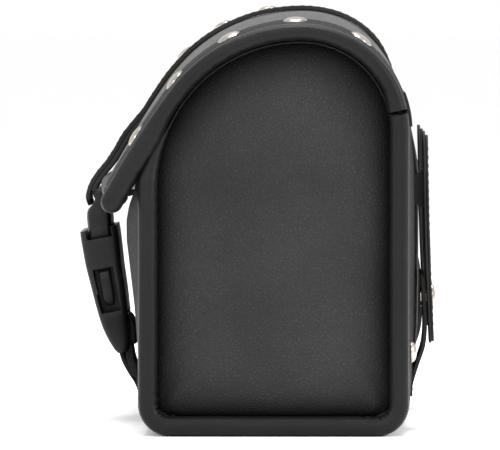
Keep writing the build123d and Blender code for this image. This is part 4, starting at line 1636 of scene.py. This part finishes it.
@dataclass
class BuckleHalves:
    """Side-release buckle, with the webbing that holds its lower half to the case."""

    buckle: Buckle = Buckle()
    half_width: float = 26.0 * MM
    wall: float = 1.9 * MM
    front_edge: tuple[tuple[float, float], ...] = (
        (0, -7.7), (-2, -7.9), (-13.4, -8.1), (-22, -7.6), (-31, -7.1), (-39, -6.4), (-43, -5.5),
        (-46.5, -4.5), (-50, -3.1), (-51.6, -2.0))
    back_edge: tuple[tuple[float, float], ...] = (
        (0, 7.6), (-2, 7.6), (-8, 7.2), (-16, 6.5), (-28, 5.9), (-38, 5.0), (-43, 4.4), (-48, 3.7),
        (-50.5, 3.0), (-51.6, 2.0))
    window_x: tuple[float, float] = (-5.5, 3.0)
    window_z: tuple[float, float] = (-15.5, -34.2)
    scoop: float = -3.2
    heel: float = -51.6
    cores: tuple[tuple[tuple[float, float, float], tuple[float, float, float]], ...] = (
        ((-0.8, 0, -39.0), (9.4, 44, 5.0)), ((-0.3, 11.0, -25.0), (11.0, 11.0, 24.0)),
        ((-0.3, -11.0, -25.0), (11.0, 11.0, 24.0)))

    def build(self) -> None:
        """Make both halves, the arms, the webbing and its anchor."""
        self.female()
        self.male()
        for end in End:
            self.arm(end)
        self.webbing()
        self.anchor()

    @staticmethod
    def between(table: Sequence[tuple[float, float]], z: float) -> float:
        """Value at a height from a falling table of heights."""
        for (z0, v0), (z1, v1) in zip(table, table[1:]):
            if z >= z1:
                return v0 + (v1 - v0) * (z - z0) / (z1 - z0)
        return table[-1][1]

    def female(self) -> None:
        """Hollow lower half with a window in each side and a sunk panel on its front."""
        levels = [0.9, 0.4, -1.5, self.scoop, -6, -10, -13, self.window_z[0], -18, -22, -26, -30,
                  self.window_z[1], -37, -40, -43, -46, -48, -50, -51, self.heel]
        corner = 2.2
        low, high = self.window_x
        ring = []
        for sign in (1, -1):
            walls = [("x", low), ("x", -3.4), ("x", -0.4), ("x", high), ("x", 5.2)]
            ring += [(kind, value, sign) for kind, value in (walls if sign > 0 else walls[::-1])]
            ring += [("c", angle, sign) for angle in (20, 45, 70)]
            ring += [("y", share, sign) for share in (1.0, 0.9, 0.62, 0.3, 0.0, -0.3, -0.62, -0.9, -1.0)]
            ring += [("c2", angle, sign) for angle in (70, 45, 20)]

        def place(z: float, n: float, _: float) -> Vector:
            kind, value, sign = ring[int(n)]
            front, back = self.between(self.front_edge, z), self.between(self.back_edge, z)
            wide = self.half_width / MM - 3.2 * smooth(-30, -50, z) - 0.35 * smooth(0, -2.5, z)
            bend = min(corner, (back - front) / 2 - 0.2)
            if kind == "x":
                x = min(max(value, front + bend), back - bend)
                return self.buckle.world(x * MM, sign * wide * MM, z * MM)
            edge, inward = (back, -1) if sign > 0 else (front, 1)
            if kind == "y":
                y = sign * value * (wide - bend)
                return self.buckle.world(edge * MM, y * MM, z * MM)
            turn = math.radians(value)
            y_side = sign if kind == "c" else -sign
            x = edge + inward * (bend - bend * math.sin(turn))
            return self.buckle.world(x * MM, y_side * (wide - bend + bend * math.cos(turn)) * MM, z * MM)

        bm = loft([(n, 0.0) for n in range(len(ring))], levels, place, cap=False)
        turn = self.buckle.matrix.inverted()
        gone, sunk = [], []
        for face in bm.faces:
            spot = turn @ face.calc_center_median() / MM
            window = low < spot.x < high and self.window_z[1] < spot.z < self.window_z[0]
            if abs(spot.y) > 24 and (window or (low < spot.x < 5.2 and spot.z > self.scoop)):
                gone.append(face)
            elif spot.x < -5.8 and abs(spot.y) < 15.5 and -37 < spot.z < -6:
                sunk.append(face)
        bmesh.ops.delete(bm, geom=gone, context="FACES")
        bmesh.ops.recalc_face_normals(bm, faces=bm.faces)
        bottom = [e for e in bm.edges
                  if e.is_boundary and all((turn @ v.co).z / MM < self.heel + 0.2 for v in e.verts)]
        bmesh.ops.contextual_create(bm, geom=bottom)
        bmesh.ops.inset_region(bm, faces=[f for f in sunk if f.is_valid], thickness=0.8 * MM,
                               depth=-0.7 * MM)
        obj = Piece("buckle_socket", "buckle_bottom", "buckle_plastic", [PLASTIC], ["buckle_female"],
                    crease=30).make(bm)
        if sum(f.normal.dot(f.center - self.buckle.world(0, 0, -25 * MM)) for f in obj.data.polygons) < 0:
            obj.data.flip_normals()
        thicken(obj, self.wall)
        bevel_edges(obj, 0.45 * MM, 3)
        bm = bmesh.new()
        for middle, size in self.cores:
            place = self.buckle.matrix @ Matrix.Translation(Vector(middle) * MM)
            scale = Matrix.Diagonal((*(Vector(size) * MM), 1))
            bmesh.ops.create_cube(bm, size=1.0, matrix=place @ scale)
        rib = Piece("buckle_socket_floor", "buckle_bottom", "buckle_plastic", [PLASTIC]).make(bm)
        bevel_edges(rib, 0.5 * MM, 2)

    def male(self) -> None:
        """Upper half: body with rounded shoulders, two cheeks, the strap's bar and a tongue."""
        bm = bmesh.new()

        def block(levels: Sequence[tuple[float, float, float, float]], y_mid: float) -> None:
            """Add a lofted block.

            Args:
                levels: height, both X edges and half width at each level.
                y_mid: Y of its middle.
            """
            shape = slab_section(1.0, 1.0, 0.16, 3)

            def place(n: float, u: float, v: float) -> Vector:
                z, x0, x1, half = levels[int(n)]
                return self.buckle.world((x0 + (x1 - x0) * v) * MM, (y_mid + u * half) * MM, z * MM)

            part = loft(shape, list(range(len(levels))), place)
            bmesh.ops.recalc_face_normals(part, faces=part.faces)
            merge(bm, part)

        block(((-4.5, -5.2, 4.9, 22.9), (-0.4, -4.8, 5.3, 23.4), (0.6, -4.5, 5.4, 23.6), (3, -4.2, 5.8, 23.7),
               (6.0, -3.9, 6.1, 23.6), (8.2, -3.4, 6.2, 23.5), (9.6, -2.6, 6.1, 23.2), (10.5, -1.4, 5.7, 22.6),
               (10.8, 0.0, 5.2, 22.0)), 0)
        for side in (-1, 1):
            block(((8, -2.2, 6.4, 2.15), (10.5, -0.6, 6.6, 2.15), (13, 0.9, 6.6, 2.1),
                   (15.4, 1.6, 6.5, 2.0), (16.8, 2.2, 5.9, 1.9), (17.6, 3.2, 5.0, 1.6)), side * 21.5)
        block(((0, -2.0, 2.0, 3.5), (-20, -1.8, 1.8, 3.4), (-25.5, -1.2, 1.2, 2.9),
               (-26.4, -0.7, 0.7, 2.2)), 0)
        bar = Matrix.Translation(self.buckle.bar) @ Matrix.Rotation(math.pi / 2, 4, "X")
        bmesh.ops.create_cone(bm, cap_ends=True, segments=20, radius1=2.1 * MM, radius2=2.1 * MM,
                              depth=43.5 * MM, matrix=bar)
        obj = Piece("buckle_plug", "buckle_top", "buckle_plastic", [PLASTIC], ["buckle_male"],
                    crease=34).make(bm)
        bevel_edges(obj, 0.3 * MM, 2)

    def arm(self, end: End) -> None:
        """Squeeze arm with its catch, thicker at the catch and pointed at its tip.

        Args:
            end: which end of the case.
        """
        levels = ((4.0, -3.4, 3.0, 2.3), (0, -3.5, 2.8, 2.4), (-8, -3.5, 2.0, 2.1), (-15.9, -3.5, 1.5, 1.75),
                  (-16.9, -3.5, 1.4, 2.5), (-18, -3.5, 1.3, 3.0), (-24, -3.6, 1.2, 2.9), (-28.5, -3.6, 1.0, 2.6),
                  (-30.6, -3.0, 0.6, 1.9), (-31.4, -2.2, 0.0, 1.2))
        shape = slab_section(1.0, 1.0, 0.18, 3)

        def place(n: float, u: float, v: float) -> Vector:
            z, x0, x1, half = levels[int(n)]
            y = 20.6 + u * half
            return self.buckle.world((x0 + (x1 - x0) * v) * MM, end.value * y * MM, z * MM)

        obj = Piece(f"buckle_prong_{end.tag}", f"arm_{end.tag}", "buckle_plastic", [PLASTIC],
                    [f"buckle_arm_{end.tag}"], crease=34).make(loft(shape, list(range(len(levels))), place))
        bevel_edges(obj, 0.25 * MM, 2)

    def webbing(self) -> None:
        """Webbing round the female half's lower bar: both strands and the tail, down to the anchor."""
        foot = -LINES.half_width - 1.0 * MM
        runs = {
            "buckle_webbing_inner": ([(4.2, -40.0), (4.4, -45.0), (4.2, -49.0)],
                                     [(-59.0, 26.6), (-57.4, 21.6), (-56.2, 17.6)], 3.0 * MM, 0.0),
            "buckle_webbing": ([(1.5, -40.0), (0.9, -46.0), (0.3, -50.6)],
                               [(-62.0, 25.1), (-59.4, 20.4), (-57.0, 16.6), (foot / MM - 0.1, 12.9),
                                (foot / MM, 8.6)], 1.8 * MM, 0.0),
            "buckle_webbing_tail": ([(3.0, -36.9), (5.2, -37.0), (6.6, -39.5), (6.6, -43.5),
                                     (5.9, -49.6)], [], 1.8 * MM, 3 * MM),
        }
        hub = Vector((foot + 8 * MM, 40 * MM))
        for name, (local, rest, thick, end) in runs.items():
            near = [self.buckle.world(x * MM, 0, z * MM) for x, z in local]
            path = follow([(p.x, p.z) for p in near] + [(x * MM, z * MM) for x, z in rest], 8)
            path = [(p, n if n.dot(p - hub) > 0 else -n) for p, n in path]
            bm = band(path, 18.5 * MM, thick, round_end=end, edge=0.5 * MM)
            replaced = ["webbing"] if name == "buckle_webbing" else ()
            Piece(name, "buckle_bottom", "webbing", [NYLON], replaced, crease=60).make(bm)

    def anchor(self) -> None:
        """Leather patch over the webbing's sewn end, with a boxed seam."""
        x = -LINES.half_width
        path = follow([(x - 0.1 * MM, 21.5 * MM), (x - 0.2 * MM, 17.5 * MM), (x - 0.1 * MM, 13.5 * MM)], 6)
        bm = band([(p, -n if n.x > 0 else n) for p, n in path], 22.5 * MM, 0.8 * MM, edge=0.25 * MM)
        leather_band("webbing_patch", "case", bm, ["webbing_anchor"])
        bm = bmesh.new()
        for z in (15.0 * MM, 20.0 * MM):
            spots = []
            for y in spread(-19.5 * MM, 19.5 * MM, 13):
                over_webbing = abs(y) < 18.5 * MM and z < 17 * MM
                out = (2.9 if over_webbing else 1.05) * MM
                spots.append(frame_on(Vector((x - out, y, z)), -BACKWARD, ACROSS))
            add_stitches(bm, spots)
        Piece("webbing_patch_stitches", "case", "strap_leather", [THREAD]).make(bm)


# ---- Mounting straps --------------------------------------------------------------------------

@dataclass
class MountStrap:
    """One mounting strap on the back: sewn tab, its spacer, the base strap and the snap."""

    end: End
    half: float = 15.0 * MM
    layer: float = 1.05 * MM
    top: tuple[float, float] = (60.3 * MM, 121.5 * MM)
    tip: tuple[float, float] = (63.0 * MM, 35.5 * MM)
    fold: float = 90.0 * MM
    snap: float = 54.0 * MM

    @property
    def middle(self) -> float:
        """Y of the strap's middle."""
        low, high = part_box(f"mount_spacer_{self.end.tag}")
        return (low[1] + high[1]) / 2

    def build(self) -> None:
        """Make every piece of the strap."""
        self.tab()
        self.spacer()
        self.base_strap()
        self.snap_parts()

    def inner(self, z: float) -> float:
        """X of the tab's inner face: nearly straight, and a little away from the snap down."""
        share = (self.top[1] - z) / (self.top[1] - self.tip[1])
        return self.top[0] + (self.tip[0] - self.top[0]) * share - 0.5 * MM * math.sin(math.pi * share)

    def tab(self) -> None:
        """Two stitched layers of leather, from the top of the tab down to its tip."""
        names = {0: (f"mount_tab_inner_{self.end.tag}", f"mount_tab_top_{self.end.tag}"),
                 1: (f"mount_tab_outer_{self.end.tag}",)}
        pivot = Vector((self.inner(self.fold), self.middle, self.fold))
        for n, replaced in names.items():
            heights = spread(self.top[1] - n * 1.6 * MM, self.tip[1] + n * 0.6 * MM, 64)
            flat = [(self.inner(z) + n * (self.layer + 0.05 * MM) + 0.15 * MM * ripple(z, n, 2, 60), z)
                    for z in heights]
            path = [(p, -nn if nn.x < 0 else nn) for p, nn in follow(flat, 1)]
            bm = band(path, self.half - n * 1.0 * MM, self.layer, self.middle, 7 * MM, 9 * MM)
            place = "over" if n else "under"
            obj = leather_band(f"mount_leather_{place}_{self.end.tag}", "", bm, replaced, cut_ends=True)
            f"tab_{self.end.tag}"
            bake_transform(obj)
        self.tab_stitches()

    def tab_stitches(self) -> None:
        """Rows of stitches near both edges of the tab.
        """
        bm = bmesh.new()
        for z in spread(self.top[1] - 7 * MM, self.tip[1] + 8 * MM, 22):
            out = self.inner(z) + 2 * self.layer + 0.1 * MM
            for side in (-1, 1):
                spot = Vector((out, self.middle + side * (self.half - 3.2 * MM), z))
                add_stitches(bm, [frame_on(spot, Vector((1, 0, 0.04)), UP)])
        obj = Piece(f"mount_stitches_{self.end.tag}", "", "strap_leather", [THREAD]).make(bm)
        f"tab_{self.end.tag}"
        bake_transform(obj)

    def spacer(self) -> None:
        """Folded leather pad that holds the tab off the back panel."""
        low, high = self.fold + 0.8 * MM, self.fold + 15.4 * MM
        x_in = LINES.half_width - 0.5 * MM

        def place(z: float, u: float, v: float) -> Vector:
            share = (z - low) / (high - low)
            waist = 1 - 0.1 * math.sin(math.pi * v)
            z_place = low + (high - low) * (0.5 + (share - 0.5) * (1.12 - 0.3 * math.sin(math.pi * v)))
            return Vector((x_in + v * (self.inner(z) - x_in - 0.05 * MM),
                           self.middle + u * (self.half - 1.2 * MM) * waist, z_place))

        rise = (0, 0.2, 0.5, 0.8, 1)
        section = [(1.0, v) for v in rise] + [(-1.0, v) for v in reversed(rise)]
        obj = Piece(f"mount_pad_{self.end.tag}", "case", "strap_leather", [CUT_EDGE],
                    [f"mount_spacer_{self.end.tag}"], crease=50).make(
                        loft(section, spread(low, high, 14), place))

    def base_strap(self) -> None:
        """Single layer from its seam on the back out to the snap, with a soft bend."""
        x = LINES.half_width
        gap = 2.1 * MM
        points = [(x + 0.1 * MM, 14 * MM), (x + 0.3 * MM, 19 * MM), (x + 2.5 * MM, 26.5 * MM),
                  (self.inner(36 * MM) - gap - 1.1 * MM, 35 * MM), (self.inner(44 * MM) - gap, 44 * MM),
                  (self.inner(54 * MM) - gap, 54 * MM), (self.inner(61 * MM) - gap - 0.1 * MM, 61 * MM),
                  (self.inner(64 * MM) - gap - 0.6 * MM, 65 * MM)]
        path = [(p, -n if n.x < 0 else n) for p, n in follow(points, 8)]
        bm = band(path, self.half - 1 * MM, 1.7 * MM, self.middle, 0.0, 6 * MM)
        leather_band(f"mount_base_strap_{self.end.tag}", "case", bm, [f"base_strap_{self.end.tag}"])
        bm = bmesh.new()
        for n in range(8):
            y = self.middle + (n - 3.5) * 3.3 * MM
            spot = Vector((x + 1.95 * MM, y, 16.6 * MM))
            add_stitches(bm, [frame_on(spot, BACKWARD, ACROSS)])
        Piece(f"mount_base_stitches_{self.end.tag}", "case", "strap_leather", [THREAD]).make(bm)

    def snap_parts(self) -> None:
        """Snap: domed cap on the tab, and its stud on the base strap."""
        ahead = Vector((math.cos(math.radians(2.1)), 0, math.sin(math.radians(2.1))))
        bm = bmesh.new()
        spot = Vector((self.inner(self.snap) + 2 * self.layer, self.middle, self.snap))
        add_turned(bm, dome_profile(5.6 * MM, 1.6 * MM, 0.2 * MM), frame_on(spot, ahead, UP), 24)
        Piece(f"snap_button_{self.end.tag}", f"tab_{self.end.tag}", "nickel", [NICKEL],
              [f"snap_cap_{self.end.tag}"]).make(bm)
        bm = bmesh.new()
        spot = Vector((self.inner(self.snap) - 2.2 * MM, self.middle, self.snap))
        add_turned(bm, dome_profile(4.0 * MM, 0.7 * MM), frame_on(spot, -ahead, UP), 20)
        add_turned(bm, [(1.8 * MM, 0), (1.8 * MM, 2.6 * MM), (1.2 * MM, 3.1 * MM), (0, 3.2 * MM)],
                   frame_on(spot, ahead, UP), 16)
        Piece(f"snap_stud_{self.end.tag}", "case", "nickel", [NICKEL],
              [f"snap_post_{self.end.tag}"]).make(bm)


# ---- Stage ------------------------------------------------------------------------------------

@dataclass
class Studio:
    """Floor, lights and camera."""

    distance: float = 2.8
    aim: Vector = field(default_factory=lambda: Vector((-9.4 * MM, 0.0, 85.0 * MM)))
    eye: tuple[float, float] = (19.0 * MM, 175.0 * MM)
    span: float = 200.0 * MM
    floor_size: float = 30.0
    floor_tone: float = 0.99
    sensor: float = 36.0

    def build(self) -> None:
        """Set the stage."""
        self.floor()
        self.world()
        self.light("key", (-0.3, -1.9, 1.2), 1.0, 20, 2.0)
        self.light("top", (0.0, 0.1, 1.6), 1.0, 34, 2.0)
        self.light("side", (1.7, -0.7, 0.9), 0.7, 26, 1.6)
        self.light("front_edge", (-1.8, -0.9, 0.9), 0.7, 13, 1.6)
        self.camera()

    def floor(self) -> None:
        """Plain pale floor."""
        bm = bmesh.new()
        bmesh.ops.create_grid(bm, x_segments=2, y_segments=2, size=self.floor_size)
        mesh = bpy.data.meshes.new("floor")
        bm.to_mesh(mesh)
        bm.free()
        obj = bpy.data.objects.new("floor", mesh)
        bpy.context.scene.collection.objects.link(obj)
        material = bpy.data.materials.new("floor_paint")
        material.use_nodes = True
        shader = material.node_tree.nodes["Principled BSDF"]
        shader.inputs["Base Color"].default_value = grey(self.floor_tone)
        shader.inputs["Roughness"].default_value = 0.9
        mesh.materials.append(material)

    def world(self) -> None:
        """Even white surroundings, shown with plain tones."""
        bpy.context.scene.view_settings.view_transform = "Standard"
        world = bpy.data.worlds.new("surroundings")
        world.use_nodes = True
        backdrop = world.node_tree.nodes["Background"]
        backdrop.inputs["Color"].default_value = grey(1.0)
        backdrop.inputs["Strength"].default_value = 1.0
        bpy.context.scene.world = world

    def light(self, name: str, place: tuple[float, float, float], size: float, power: float,
              wide: float) -> None:
        """Area light that faces the case.

        Args:
            name: its name.
            place: where it stands.
            size: its height.
            power: its power in watts.
            wide: twice its width for each height.
        """
        data = bpy.data.lights.new(name, "AREA")
        data.shape = "RECTANGLE"
        data.size = size * wide / 2
        data.size_y = size
        data.energy = power
        obj = bpy.data.objects.new(name, data)
        obj.location = place
        toward = self.aim - Vector(place)
        obj.rotation_euler = toward.to_track_quat("-Z", "Y").to_euler()
        bpy.context.scene.collection.objects.link(obj)

    def camera(self) -> None:
        """Long lens at the end of the case, a little above it."""
        data = bpy.data.cameras.new("camera")
        data.sensor_width = self.sensor
        data.lens = data.sensor_width * self.distance / self.span
        data.clip_end = 50
        obj = bpy.data.objects.new("camera", data)
        start = Vector((self.eye[0], -LINES.half_length - self.distance, self.eye[1]))
        target = Vector((self.aim.x, -LINES.half_length, self.aim.z))
        obj.location = start
        obj.rotation_euler = (target - start).to_track_quat("-Z", "Y").to_euler()
        bpy.context.scene.collection.objects.link(obj)
        bpy.context.scene.camera = obj


def main() -> None:
    """Build the stage and every sub-assembly, logging each as it is built."""
    logging.basicConfig(level=logging.INFO, format="%(message)s")
    Studio().build()
    for assembly in (CaseBody(), Lid(), Strap(), BuckleHalves(), MountStrap(End.NEAR), MountStrap(End.FAR)):
        assembly.build()
        LOG.info("built %s", type(assembly).__name__)


if __name__ == "__main__":
    main()
